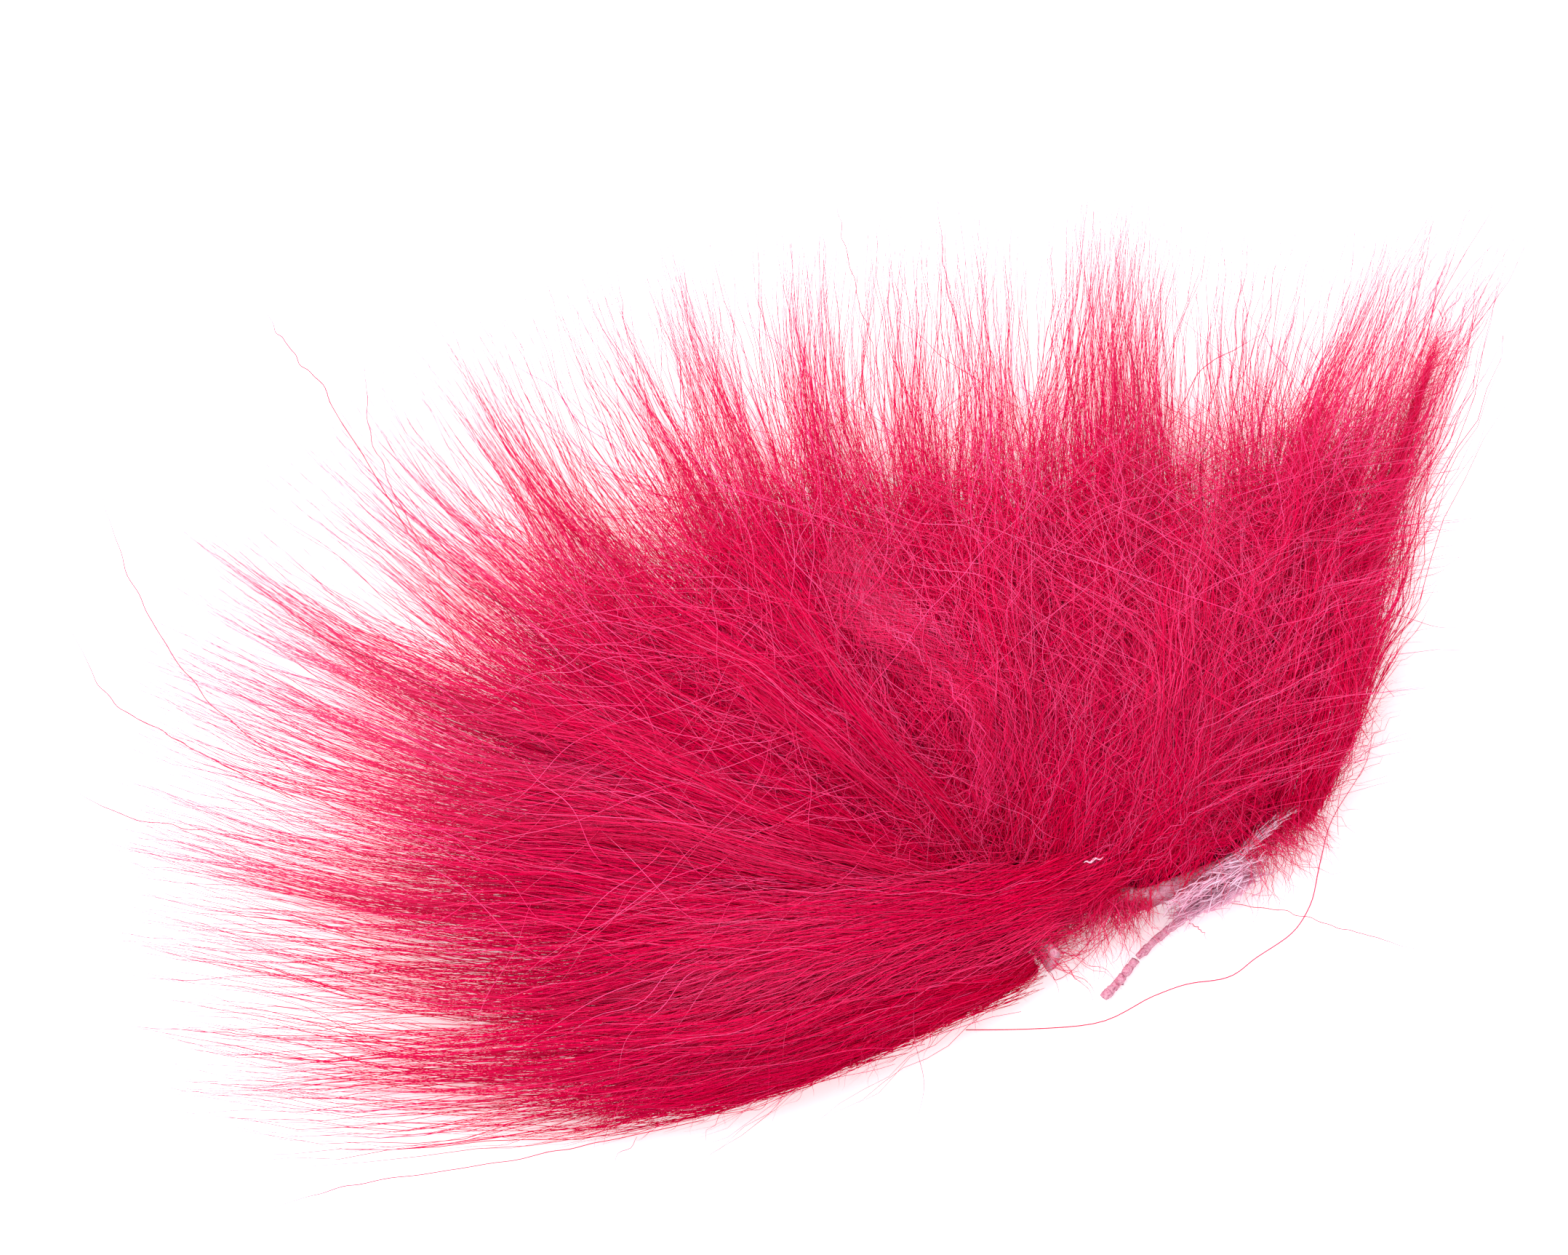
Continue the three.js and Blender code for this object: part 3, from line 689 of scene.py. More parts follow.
# %% Laying a crown lock
def long_hairs(rng, index, hairs, points, wisps=20):
    span = 1 / CROWN_LOCKS
    wisp_root = (index + rng.uniform(-0.05, 1.05, wisps)) * span
    wisp_tip = wisp_root + rng.normal(0, 0.12 * span, wisps)
    bright, wisp_shade = strand_shades(rng, wisps)
    # The lighter wisps and light hairs lie highest, so the top layer carries the painted sheen.
    wisp_height = np.where(bright, rng.uniform(0.95, 1.05, wisps), rng.uniform(0.72, 1.0, wisps))
    wisp_phase = rng.uniform(0, 1, wisps)
    which = rng.integers(0, wisps, hairs)
    own_root = wisp_root[which] + rng.normal(0, 0.14 * span, hairs)
    start = np.where(rng.random(hairs) < 0.5, rng.uniform(0.0, 0.05, hairs), rng.uniform(0.05, 0.4, hairs))
    end = np.minimum(start + rng.uniform(0.25, 0.6, hairs), rng.uniform(0.58, 0.9, hairs))
    end = end * (1 - 0.2 * ease(own_root, 0.86, 0.98))
    along = steps_along(points)
    place = start[:, None] + along * (end - start)[:, None]
    lean = ease(place, 0.08, 0.8) * rng.uniform(0.3, 0.95, (hairs, 1))
    across = turn_back(own_root[:, None] * (1 - lean) + wisp_tip[which][:, None] * lean)
    light = rng.random(hairs) < light_and_sheen_share(own_root)
    height = (wisp_height[which] + rng.normal(0, 0.03, hairs) + np.where(light, 0.03, 0.0))[:, None]
    length_mm = HAIR_LENGTH * (end - start)[:, None]
    slope = rng.normal(0, 0.05, (hairs, 1)) * np.where(light, 2.0, 1.0)[:, None]
    slow = 0.8 * np.sin(2 * np.pi * (place * 2.1 + wisp_phase[which][:, None])) * ease(place, 0.05, 0.4)
    sideways = slow + slope * (along - 0.5) * length_mm + wave(rng, along, length_mm, 6, 12, 0.2)
    paths = lay(across, place, height, sideways)
    paths[..., 2] += wave(rng, along, length_mm, 6, 13, 0.18) + 0.1
    shades = np.where(light, rng.uniform(0.35, 0.9, hairs),
                      tone_and_painted_light(own_root, (start + end) / 2) + wisp_shade[which] + rng.normal(0, 0.06, hairs))
    return paths, shades


def down_fibres(rng, index, hairs, points, fluff, tufts=70):
    span = 1 / CROWN_LOCKS
    tuft_across = (index + rng.uniform(-0.05, 1.05, tufts)) * span
    tuft_place = rng.uniform(0.0, 0.62, tufts)
    bright, tuft_shade = strand_shades(rng, tufts, 0.35)
    # Lighter tufts stand highest and light fibres are lifted, so the top carries the painted sheen.
    tuft_height = np.where(bright, rng.uniform(0.9, 1.06, tufts), rng.uniform(0.74, 1.0, tufts))
    tuft_slope = rng.normal(0, 0.08 + 0.3 * fluff, tufts)
    which = rng.integers(0, tufts, hairs)
    reach = rng.uniform(0.1, 0.24, hairs)
    start = np.maximum(tuft_place[which] + rng.normal(0, 0.06, hairs), 0.0)
    across = (tuft_across[which] + rng.normal(0, 0.1 * span, hairs))[:, None]
    along = steps_along(points)
    place = start[:, None] + along * reach[:, None]
    length_mm = HAIR_LENGTH * reach[:, None]
    light = rng.random(hairs) < 1.6 * light_and_sheen_share(across[:, 0])
    spread = np.where(light, 1.5, 1.0)
    loose = fluff * (1 - ease(across[:, 0], 0.86, 0.96))
    slope = (tuft_slope[which] + rng.normal(0, 1, hairs) * (0.08 + 0.6 * loose) * spread)[:, None]
    crimp = wave(rng, along, length_mm, 2.6, 4.6, 0.12 + 0.14 * fluff)
    sideways = slope * (along - 0.3) * length_mm + crimp
    height = (tuft_height[which] + rng.normal(0, 0.03, hairs))[:, None]
    paths = lay(np.broadcast_to(across, place.shape), place, height, sideways)
    lift = np.where(light, rng.uniform(0.2, 0.9, hairs), 0.1)[:, None]
    paths[..., 2] += wave(rng, along, length_mm, 3.0, 6.0, 0.2) + lift
    shades = np.where(light, rng.uniform(0.5, 1.0, hairs),
                      tone_and_painted_light(across[:, 0], start + 0.1) + tuft_shade[which] + rng.normal(0, 0.06, hairs))
    return paths, shades


def crown_lock(index, hairs=1750, points=15):
    rng = np.random.default_rng(2000 + index)
    fluff = float(ease(index, 1.5, 4.5))
    long_count = int(hairs * (0.82 - 0.5 * fluff))
    long_paths, long_shades = long_hairs(rng, index, long_count, points)
    down_paths, down_shades = down_fibres(rng, index, hairs - long_count, points, fluff)
    paths = np.concatenate([long_paths, down_paths])
    thick = np.concatenate([rng.uniform(0.04, 0.075, long_count), rng.uniform(0.038, 0.062, hairs - long_count)])
    shades = np.concatenate([long_shades, down_shades])
    return spin(f"crown_hair_{index + 1:02d}", paths, taper(points, thick), shades, CROWN_DYE, seed=50 + index)


crown_pieces = [crown_lock(index) for index in range(CROWN_LOCKS)]
for index, piece in enumerate(crown_pieces):
    seat_lock(piece, index * 2, index * 2 + 2)
    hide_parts(f"crown_lock_{index + 1:02d}")
print("crown locks:", len(crown_pieces), "faces:", sum(len(p.data.polygons) for p in crown_pieces))

# %% [markdown]
# ## Hair that doesn't follow the comb
#
# Four sorts of hair ignore the fan. A thick lock from the middle panel was swept back over the fold and lies
# across the left panel. To the right of the parting the top layer is swept up from the hide. Short down lies
# matted in every direction, and single long hairs cross the fur at any angle. All of them are drawn the same
# way: start somewhere, set off on a bearing, turn evenly, and lie on top of whatever is underneath. A few dark
# hairs are made here too, but they do follow the comb.

# %% Swept and loose hair
def wander(rng, starts, bearings, turns, lengths, points, crimp=(5.0, 10.0, 0.2)):
    """Plan paths that start anywhere, turn evenly by so many degrees and carry a crimp."""
    along = steps_along(points)
    angle = bearings[:, None] + turns[:, None] * along
    moves = heading(angle) * (lengths / (points - 1))[:, None, None]
    walked = np.concatenate([np.zeros((len(starts), 1, 2)), np.cumsum(moves[:, :-1], axis=1)], axis=1)
    low, high, size = crimp
    side = wave(rng, along, lengths[:, None], low, high, size)
    normal = heading(angle + 90)
    return starts[:, None, :] + walked + normal * side[..., None]


def on_top(plan, lift):
    return raised(plan, np.maximum(top_at(plan) + lift, 0.15))


def strand_starts(rng, places, sides, which, scatter):
    """Every hair starts near its strand's place on the hide."""
    starts = np.array([hide_point(place, side) for place, side in zip(places, sides)])[which]
    return starts + rng.normal(0, scatter, (len(which), 2))


def swept_band(hairs=1700, points=15):
    """The lock that crosses the fold from the middle panel to the left."""
    rng = np.random.default_rng(31)
    strands = 26
    strand_place = rng.uniform(0.5, 10.5, strands)
    strand_side = rng.uniform(-1.2, 2.2, strands)
    strand_bearing = 205 + rng.normal(0, 5, strands)
    which = rng.integers(0, strands, hairs)
    starts = strand_starts(rng, strand_place, strand_side, which, 0.55)
    lengths = rng.uniform(10, 40, hairs)
    plan = wander(rng, starts, strand_bearing[which] + rng.normal(0, 4, hairs), rng.normal(-16, 7, hairs),
                  lengths, points, crimp=(5, 9, 0.25))
    along = steps_along(points)
    lift = (rng.uniform(-0.6, 0.9, strands)[which] + rng.normal(0, 0.25, hairs))[:, None]
    lift = lift + 0.6 * np.sin(np.pi * along) - 0.9 * ease(along, 0.7, 1.0)
    shades = np.where(rng.random(hairs) < 0.12, rng.uniform(0.5, 1.0, hairs),
                      strand_shades(rng, strands, 0.6)[1][which] + rng.normal(0.1, 0.06, hairs))
    return spin("swept_band", on_top(plan, lift), taper(points, rng.uniform(0.045, 0.08, hairs)), shades,
                CROWN_DYE, seed=61)


def swept_right(hairs=1200, points=15):
    """Hair swept up from the middle and right panels."""
    rng = np.random.default_rng(32)
    strands = 60
    strand_place = rng.uniform(-0.5, 17.0, strands)
    strand_side = rng.uniform(-0.3, 4.5, strands)
    strand_bearing = rng.uniform(40, 92, strands)
    which = rng.integers(0, strands, hairs)
    starts = strand_starts(rng, strand_place, strand_side, which, 0.7)
    lengths = rng.uniform(6, 19, hairs)
    plan = wander(rng, starts, strand_bearing[which] + rng.normal(0, 16, hairs), rng.normal(8, 28, hairs),
                  lengths, points, crimp=(2.2, 4.5, 0.26))
    lift = (rng.uniform(-0.5, 0.7, strands)[which] + rng.normal(0.1, 0.25, hairs))[:, None]
    shades = np.where(rng.random(hairs) < 0.25, rng.uniform(0.45, 1.0, hairs),
                      rng.uniform(-0.05, 0.25, strands)[which] + rng.normal(0, 0.06, hairs))
    widths = taper(points, rng.uniform(0.04, 0.07, hairs))
    return spin("swept_right", on_top(plan, lift), widths, shades, CROWN_DYE, seed=62)


def matted_down(name, left, right, hairs, seed, points=13):
    """Short crimped fibres that point every way and felt together on top of the pile."""
    rng = np.random.default_rng(seed)
    across = rng.uniform(left, right, hairs)
    place = rng.uniform(0.02, 0.62, hairs)
    starts = read_table(FAN, across, place)
    lengths = rng.uniform(2.5, 8.0, hairs)
    bearings = rng.uniform(0, 360, hairs)
    turns = rng.normal(0, 60, hairs)
    plan = wander(rng, starts, bearings, turns, lengths, points, (1.9, 3.8, 0.24))
    # Light fibres lie on top and dark ones sink in, so the top carries the painted sheen.
    light = rng.random(hairs) < 0.3
    lift = np.where(light, rng.uniform(0.1, 0.8, hairs), rng.uniform(-0.5, 0.3, hairs))[:, None]
    shades = np.where(light, rng.uniform(0.4, 0.95, hairs), tone_and_painted_light(across, place) + rng.uniform(-0.05, 0.2, hairs))
    widths = taper(points, rng.uniform(0.036, 0.058, hairs))
    return spin(name, on_top(plan, lift), widths, shades, CROWN_DYE, seed=seed)


def loose_hairs(name, left, right, hairs, seed, points=24):
    """Long single hairs that cross the fur."""
    rng = np.random.default_rng(seed)
    across = rng.uniform(left, right, hairs)
    starts = read_table(FAN, across, rng.uniform(0.1, 0.6, hairs))
    bearings = smooth_read(LEAVES, across) + rng.normal(0, 36, hairs)
    lengths = rng.uniform(10, np.interp(across, [0.2, 0.5, 0.65, 0.8], [20, 34, 30, 16]))
    plan = wander(rng, starts, bearings, rng.normal(0, 25, hairs), lengths, points, (6, 16, 0.35))
    lift = rng.uniform(0.15, 0.7, (hairs, 1)) + 0.3 * np.sin(np.pi * np.linspace(0, 1, points))
    shades = rng.uniform(0.75, 1.0, hairs)
    widths = taper(points, rng.uniform(0.045, 0.07, hairs))
    return spin(name, on_top(plan, lift), widths, shades, CROWN_DYE, seed=seed)


def dark_hairs(name, left, right, hairs, seed, points=24):
    """A few hairs that took the dye badly and stayed dark. They stand in the fringe."""
    rng = np.random.default_rng(seed)
    along = steps_along(points)
    across = rng.uniform(left, right, (hairs, 1)) + rng.normal(0, 0.012, (hairs, 1)) * along
    place = 0.5 + along * rng.uniform(0.3, 0.5, (hairs, 1))
    sideways = wave(rng, along, np.full((hairs, 1), 26.0), 12, 20, 0.4)
    paths = lay(across, place, np.full_like(place, 1.02), sideways)
    return spin(name, paths, taper(points, rng.uniform(0.06, 0.085, hairs)), rng.uniform(0, 1, hairs), DARK_DYE,
                seed=seed)


top_pieces = [
    (swept_band(), over_fold),
    (swept_right(), over_bend),
    (loose_hairs("loose_hairs_left", 0.14, 0.42, 80, 71), over_fold),
    (loose_hairs("loose_hairs_centre", 0.42, 0.62, 120, 72), over_fold),
    (loose_hairs("loose_hairs_right", 0.62, 0.93, 190, 73), over_bend),
    (dark_hairs("dark_hairs_left", 0.12, 0.5, 7, 74), over_fold),
    (dark_hairs("dark_hairs_right", 0.54, 0.86, 9, 75), over_bend),
    (matted_down("matted_down_centre", 0.4, 0.66, 1500, 76), over_fold),
    (matted_down("matted_down_right", 0.62, 0.9, 2400, 77), over_bend)]
for piece, seat in top_pieces:
    seat(piece)
    print(piece.name, len(piece.data.polygons), "faces")

# %% [markdown]
# ## Fluff round the edges
#
# Down hangs over the flesh side of the hide and stands out all round the fan, so the fur never ends in a clean
# line. Each fibre starts just inside an edge, curls, and sinks to the table. Along the hide the fibres head
# outwards within a wide angle, and along the two sides they lie nearly along the edge.

# %% Edge fluff
TAIL_FROM, TUFT_TO = 13.2, 22.2


def fluff(name, rng, starts, outward, heights, lengths, seed, spread=36, curl=0, low=0.15, points=10):
    """Short curled fibres that start at points inside an edge and sink to the table outside it."""
    hairs = len(starts)
    bearings = outward + rng.normal(0, spread, hairs)
    plan = wander(rng, starts, bearings, rng.normal(curl, 45, hairs), lengths, points, (1.8, 3.6, 0.24))
    along = steps_along(points)
    end = rng.uniform(low, low + 0.5, (hairs, 1)) * heights[:, None]
    z = heights[:, None] + 0.5 * np.sin(np.pi * along) + (end - heights[:, None]) * along**1.6
    shades = rng.uniform(0.05, 0.8, hairs)
    widths = taper(points, rng.uniform(0.032, 0.055, hairs))
    return spin(name, raised(plan, np.maximum(z, 0.12)), widths, shades, CROWN_DYE, seed=seed)


def hide_fluff(name, first, last, hairs, seed):
    rng = np.random.default_rng(seed)
    place = rng.uniform(first, last, hairs)
    keep = np.where((place > TAIL_FROM) & (place < TUFT_TO), 0.12, 1.0)
    place = place[rng.random(hairs) < keep]
    hairs = len(place)
    starts = np.array([hide_point(p, s) for p, s in zip(place, rng.uniform(-0.6, 1.6, hairs))])
    bearing = np.interp(place, [-0.01, 0.0, CENTRE, CENTRE + 1, CENTRE + INNER, CENTRE + INNER + 1],
                        [128.5, -4.0, -4.0, 21.5, 21.5, 43.0])
    short = np.where((place > TAIL_FROM - 2) & (place < TUFT_TO), 0.5, 1.0)
    lengths = rng.gamma(3.2, 1.0, hairs).clip(1.0, 7.5) * short
    return fluff(name, rng, starts, bearing - 90, rng.uniform(1.0, 7.6, hairs), lengths, seed)


def side_fluff(name, across, outward, last, hairs, long, seed, curl, low):
    """Down along one side of the fan. Its bearings stray by less than a degree or so."""
    rng = np.random.default_rng(seed)
    place = rng.uniform(0.0, last, hairs)
    line = across + rng.normal(0, 0.012, hairs)
    run = read_table(RUNS, line, place)
    starts = read_table(FAN, line, place) - leftwards(run) * right_bulge(line, place)[:, None]
    bearing = np.degrees(np.arctan2(run[:, 1], run[:, 0])) + outward
    heights = pile_top(line, place) * rng.uniform(0.1, 1.0, hairs)
    lengths = rng.gamma(3.0, long, hairs).clip(0.8, 7.0)
    return fluff(name, rng, starts, bearing, heights, lengths, seed, line, curl, low)


edge_pieces = [
    (hide_fluff("edge_fluff_centre", 0.8, 13.5, 2100, 81), over_bend),
    (hide_fluff("edge_fluff_right", 13.5, HIDE_END + 0.4, 1900, 82), over_bend),
    (hide_fluff("edge_fluff_left", -7.6, -0.2, 800, 83), over_fold),
    (side_fluff("side_fluff_left", EDGE + 0.02, 28, 0.6, 1200, 0.6, 84, -15, 0.3), over_fold),
    (side_fluff("side_fluff_right", 0.97, -4, 1.0, 2000, 1.5, 85, 6, 0.6), over_bend)]
for piece, seat in edge_pieces:
    seat(piece)
    print(piece.name, len(piece.data.polygons), "faces")

# %% [markdown]
# ## The curled lock
#
# One slim lock lies loose on top, in a slow S. It is the same hair as the crown, so it is spun the same way: a
# middle line, and hairs that keep their own place in the lock's round section and draw together at its tip.

# %% Curled lock
CURL_FROM, CURL_TO = 0.05, 0.58
CURL_ACROSS, CURL_SWAY, CURL_WIDTH = 0.6, 0.034, 2.9


def curled_lock(hairs=240, points=30, strands=20):
    rng = np.random.default_rng(41)
    which = rng.integers(0, strands, hairs)
    along = steps_along(points)
    start = (rng.uniform(0, 0.35, strands)[which] + rng.uniform(0, 0.15, hairs))[:, None]
    end = (rng.uniform(0.6, 0.9, strands)[which] + rng.uniform(0, 0.1, hairs))[:, None]
    turn = start + along * (end - start)
    place = CURL_FROM + (CURL_TO - CURL_FROM) * turn
    across = CURL_ACROSS + CURL_SWAY * np.sin(turn * 2 * np.pi)
    angle = rng.uniform(0, 2 * np.pi, strands)[which][:, None]
    inside = np.sqrt(rng.uniform(0, 1, strands))[which][:, None]
    inside = inside + rng.normal(0, 0.35, (hairs, 1))
    narrow = 1 - 0.5 * turn**2
    length_mm = np.full((hairs, 1), 26.0)
    sideways = CURL_WIDTH * inside * np.cos(angle) * narrow + wave(rng, along, length_mm, 2.2, 4.4, 0.42)
    drift = rng.normal(0, 1.6, strands)[which] + rng.normal(0, 0.9, hairs)
    sideways = sideways + 2.6 * (1 - turn) + drift[:, None] * (along - 0.3)
    paths = lay(across, place, np.ones_like(place), sideways)
    paths[..., 2] += 0.9 + 0.6 * inside * np.sin(angle) * narrow + wave(rng, along, length_mm, 3, 6, 0.2)
    shades = rng.uniform(0.25, 0.85, strands)[which] + rng.normal(0, 0.15, hairs)
    return spin("curl_hair", paths, taper(points, rng.uniform(0.04, 0.065, hairs)), shades, CROWN_DYE, seed=63)


curl = curled_lock()
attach(curl, "curl")
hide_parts("curl_lock")
print("curl box in mm:", [round(v / MM, 1) for v in (*curl.bound_box[0], *curl.bound_box[6])])

# %% [markdown]
# ## Hide, torn fibres and the bare tail
#
# The skin is tanned leather about a millimetre thick, and it took less dye than the hair. It is one strip, so it
# is made as two long solids that meet away from both bends. Each solid is a rounded section swept along a path,
# with its surface pushed in and out at random. The torn tail uses the same sweep with a smaller section. Its
# colour is a noise pattern: pale flesh, pink stain, and dark red flecks where hair roots were.

# %% Hide material and sweep
def hide_material(name, tones, fleck_scale):
    material, nodes, links, surface = new_material(name)
    where = nodes.new("ShaderNodeTexCoord")
    stain = add_node(nodes, "ShaderNodeTexNoise", Scale=fleck_scale, Detail=10.0, Roughness=0.72)
    links.new(where.outputs["Object"], stain.inputs["Vector"])
    ramp = colour_ramp(nodes, tones)
    links.new(stain.outputs["Fac"], ramp.inputs["Fac"])
    links.new(ramp.outputs["Color"], surface.inputs["Base Color"])
    grain = add_node(nodes, "ShaderNodeTexNoise", Scale=fleck_scale * 3, Detail=6.0)
    links.new(where.outputs["Object"], grain.inputs["Vector"])
    add_bump(nodes, links, surface, grain.outputs["Fac"], 0.7, 0.2 * MM)
    vary_roughness(nodes, links, surface, grain.outputs["Fac"], 0.55, 0.9)
    surface.inputs["Specular IOR Level"].default_value = 0.25
    return material


def sweep(name, middles, half_widths, half_heights, material, seed, sides=20, ragged=0.05, square=0.5):
    """A closed solid: a rounded section carried along a path, its surface pushed in and out at random."""
    rng = np.random.default_rng(seed)
    steps = len(middles)
    run = steady(np.gradient(middles, axis=0))
    flat = steady(np.stack([-run[:, 1], run[:, 0], np.zeros(steps)], axis=-1))
    tall = np.cross(run, flat)
    angle = np.arange(sides) / sides * 2 * np.pi
    wide = np.sign(np.cos(angle)) * np.abs(np.cos(angle))**square
    high = np.sign(np.sin(angle)) * np.abs(np.sin(angle))**square
    rough = 1 + ragged * soft_noise(rng, steps, sides, 2)
    ring = (flat[:, None] * (wide * half_widths[:, None] * rough)[..., None]
            + tall[:, None] * (high * half_heights[:, None] * rough)[..., None])
    vertices = (middles[:, None] + ring).reshape(-1, 3)
    vertices[:, 2] = np.maximum(vertices[:, 2], 0.02)
    number = np.arange(steps * sides).reshape(steps, sides)
    after = np.roll(number, -1, axis=1)
    quads = np.stack([number[:-1], after[:-1], after[1:], number[1:]], axis=-1).reshape(-1, 4)
    faces = np.concatenate([quads.ravel(), number[0, ::-1], number[-1]])
    sizes = np.concatenate([np.full(len(quads), 4), [sides, sides]])
    u = np.linspace(0.05, 0.95, steps)
    v = np.arange(sides + 1) / sides * 0.9 + 0.05
    u0, u1 = (np.broadcast_to(x[:, None], (steps - 1, sides)) for x in (u[:-1], u[1:]))
    v0, v1 = (np.broadcast_to(x[None, :], (steps - 1, sides)) for x in (v[:-1], v[1:]))
    spots = np.stack([u0, v0, u0, v1, u1, v1, u1, v0], axis=-1).reshape(-1, 2)
    disc = np.stack([np.cos(angle), np.sin(angle)], axis=-1) * 0.018 + 0.022
    spots = np.concatenate([spots, disc, disc + np.array([0.955, 0.0])])
    return make_mesh(name, vertices, faces, sizes, spots, material)


HIDE = hide_material("tanned_hide", [(0.34, (0.30, 0.02, 0.06)), (0.46, (0.70, 0.25, 0.38)),
                                     (0.62, (0.82, 0.46, 0.56))], 3600)
FLESH = hide_material("flesh_side", [(0.35, (0.80, 0.32, 0.48)), (0.55, (0.90, 0.50, 0.66)),
                                     (0.7, (0.95, 0.66, 0.80))], 2200)

# %% Hide strips
SPLIT = 6.0


def hide_strip(name, first, last, seed):
    places = np.linspace(first, last, int(abs(last - first) / 0.22))
    plan = np.array([hide_point(p) for p in places])
    for _ in range(3):
        plan[1:-1] = (plan[:-2] + plan[1:-1] * 2 + plan[2:]) / 4
    middles = raised(plan, np.full(len(plan), HIDE_HEIGHT / 2))
    half_width = np.full(len(plan), HIDE_THICKNESS / 2 - 0.04)
    half_height = np.full(len(plan), HIDE_HEIGHT / 2 - 0.1)
    return sweep(name, middles, half_width, half_height, HIDE, seed, sides=32, ragged=0.03, square=0.35)


folded_hide = hide_strip("folded_hide", -LEFT + 0.6, SPLIT, 91)
over_fold(folded_hide)
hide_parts("hide_left", "hide_fold")
long_hide = hide_strip("long_hide", SPLIT, HIDE_END - 0.1, 92)
over_bend(long_hide)
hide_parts("hide_centre", "hide_right")

# %% Tail slivers
TAIL_BASE_BEARING, TAIL_END_BEARING = 222, 231


def node_axis(node, degrees):
    """The middle line of a straight CAD node that runs on a bearing, from its high-x end."""
    low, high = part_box(node)
    run = heading(degrees)
    middle = np.array([(low.x + high.x) / 2, (low.y + high.y) / 2]) / MM
    half = (high.x - low.x) / MM / 2 / abs(run[0]) - 0.35
    return middle - run * half, middle + run * half


def sliver(name, start, end, wide, tall, seed, bow):
    steps = 46
    along = np.linspace(0, 1, steps)
    plan = start[None] * (1 - along[:, None]) + end[None] * along[:, None]
    plan = plan + leftwards(steady(end - start)) * (bow * np.sin(np.pi * along))[:, None]
    rng = np.random.default_rng(seed)
    half_wide = wide / 2 * (1 + 0.1 * soft_noise(rng, steps, 3, 3)[:, 1])
    half_tall = tall / 2 * (1 + 0.06 * soft_noise(rng, steps, 3, 3)[:, 1])
    middles = raised(plan, half_tall + 0.05)
    piece = sweep(name, middles, half_wide, half_tall, HIDE, seed, sides=16, ragged=0.09, square=0.7)
    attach(piece, name.rsplit("_", 1)[0])
    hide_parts(name.rsplit("_", 1)[0])


base_start, base_end = node_axis("tail_base", TAIL_BASE_BEARING)
end_start, end_end = node_axis("tail_end", TAIL_END_BEARING)
end_end = end_end - heading(TAIL_END_BEARING) * 0.9
joint_spot = (base_end + end_start) / 2
half_gap = heading(TAIL_BASE_BEARING - 180) * 0.12
sliver("tail_base_sliver", base_start, joint_spot + half_gap, 0.62, 1.5, 93, -0.12)
sliver("tail_end_sliver", joint_spot - half_gap, end_end, 0.68, 1.4, 94, 0.1)
print("tail runs from", base_start.round(1), "to", end_end.round(1))

# %% Torn flesh-side fibres
EDGE_STRIP = (17.5, 26.5)
TUFT_BEARING = 27


def flesh_tuft():
    low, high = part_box("flesh_fibres")
    centre = np.array([(low.x + high.x) / 2, (low.y + high.y) / 2]) / MM
    rng = np.random.default_rng(95)
    run = heading(TUFT_BEARING)
    towards_hide = leftwards(run)
    steps = 60
    along = np.linspace(-1, 1, steps)
    plan = centre + run * (along * 3.6)[:, None] + towards_hide * (0.35 * along**2)[:, None]
    swell = np.sqrt(1.02 - along**2)
    middles = raised(plan, 1.3 + 0.9 * (along + 1))
    core = sweep("flesh_core", middles, 0.75 * swell + 0.05, 1.2 * swell + 0.1, FLESH, 96, sides=24, ragged=0.12,
                 square=0.9)
    hairs, points = 1000, 8
    spot = rng.uniform(-1, 1, hairs)
    starts = centre + run * (spot * 3.4)[:, None] + rng.normal(0, 0.4, (hairs, 2))
    upright = rng.random(hairs) < 0.45
    starts = starts + towards_hide * np.where(upright, 0.75, 0.0)[:, None]
    along_hide = np.where(rng.random(hairs) < 0.65, TUFT_BEARING + 180.0, TUFT_BEARING)
    bearings = along_hide + rng.normal(0, 14, hairs)
    lengths = rng.uniform(0.8, 2.4, hairs)
    on_edge = rng.random(hairs) < 0.3
    edge_place = rng.uniform(*EDGE_STRIP, hairs)
    edge_starts = np.array([hide_point(p, o) for p, o in zip(edge_place, rng.uniform(-0.6, 0.1, hairs))])
    starts = np.where(on_edge[:, None], edge_starts, starts)
    edge_bearing = np.where(edge_place > CENTRE + INNER, HIDE_RUNS[3][0], HIDE_RUNS[2][0])
    bearings = np.where(on_edge, edge_bearing + rng.normal(0, 7, hairs), bearings)
    plan = wander(rng, starts, bearings, rng.normal(0, 20, hairs), lengths, points, (1.5, 3.0, 0.06))
    height = rng.uniform(0.8, 1.25, (hairs, 1)) * (2.5 + 0.9 * (spot[:, None] + 1)) * (1 - 0.15 * spot[:, None]**2)
    height = np.where(upright[:, None], rng.uniform(3.5, 7.3, (hairs, 1)), height)
    height = np.where(on_edge[:, None], HIDE_HEIGHT + rng.uniform(0.0, 0.9, (hairs, 1)), height)
    drop = steps_along(points)**2 * np.where(on_edge[:, None], 0.1, rng.uniform(0.1, 1.2, (hairs, 1)))
    paths = raised(plan, np.maximum(height - drop, 0.1))
    dye_map = dye("flesh_fibre_dye", dark=[(0.0, (0.82, 0.32, 0.48)), (1.0, (0.90, 0.44, 0.62))],
                  light=[(0.0, (0.95, 0.64, 0.82)), (1.0, (0.98, 0.78, 0.92))], roughness=(0.85, 0.7))
    fibres = spin("flesh_fibre_hair", paths, taper(points, rng.uniform(0.05, 0.12, hairs)),
                  rng.uniform(0.2, 1.0, hairs), dye_map, seed=97)
    return core, fibres


flesh_core, flesh_hair = flesh_tuft()
for piece in (flesh_core, flesh_hair):
    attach(piece, "right_wing")
    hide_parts("flesh_fibres")
print("flesh fibres:", len(flesh_hair.data.polygons), "faces")

# %% [markdown]
# ## Stray hairs and a flake of skin
#
# A few single hairs have fallen out or reach far past the rest. Each is a smooth curve through a few points in
# mm, laid on the table or on the fur. The flake is a scrap of dry skin caught in the hair.

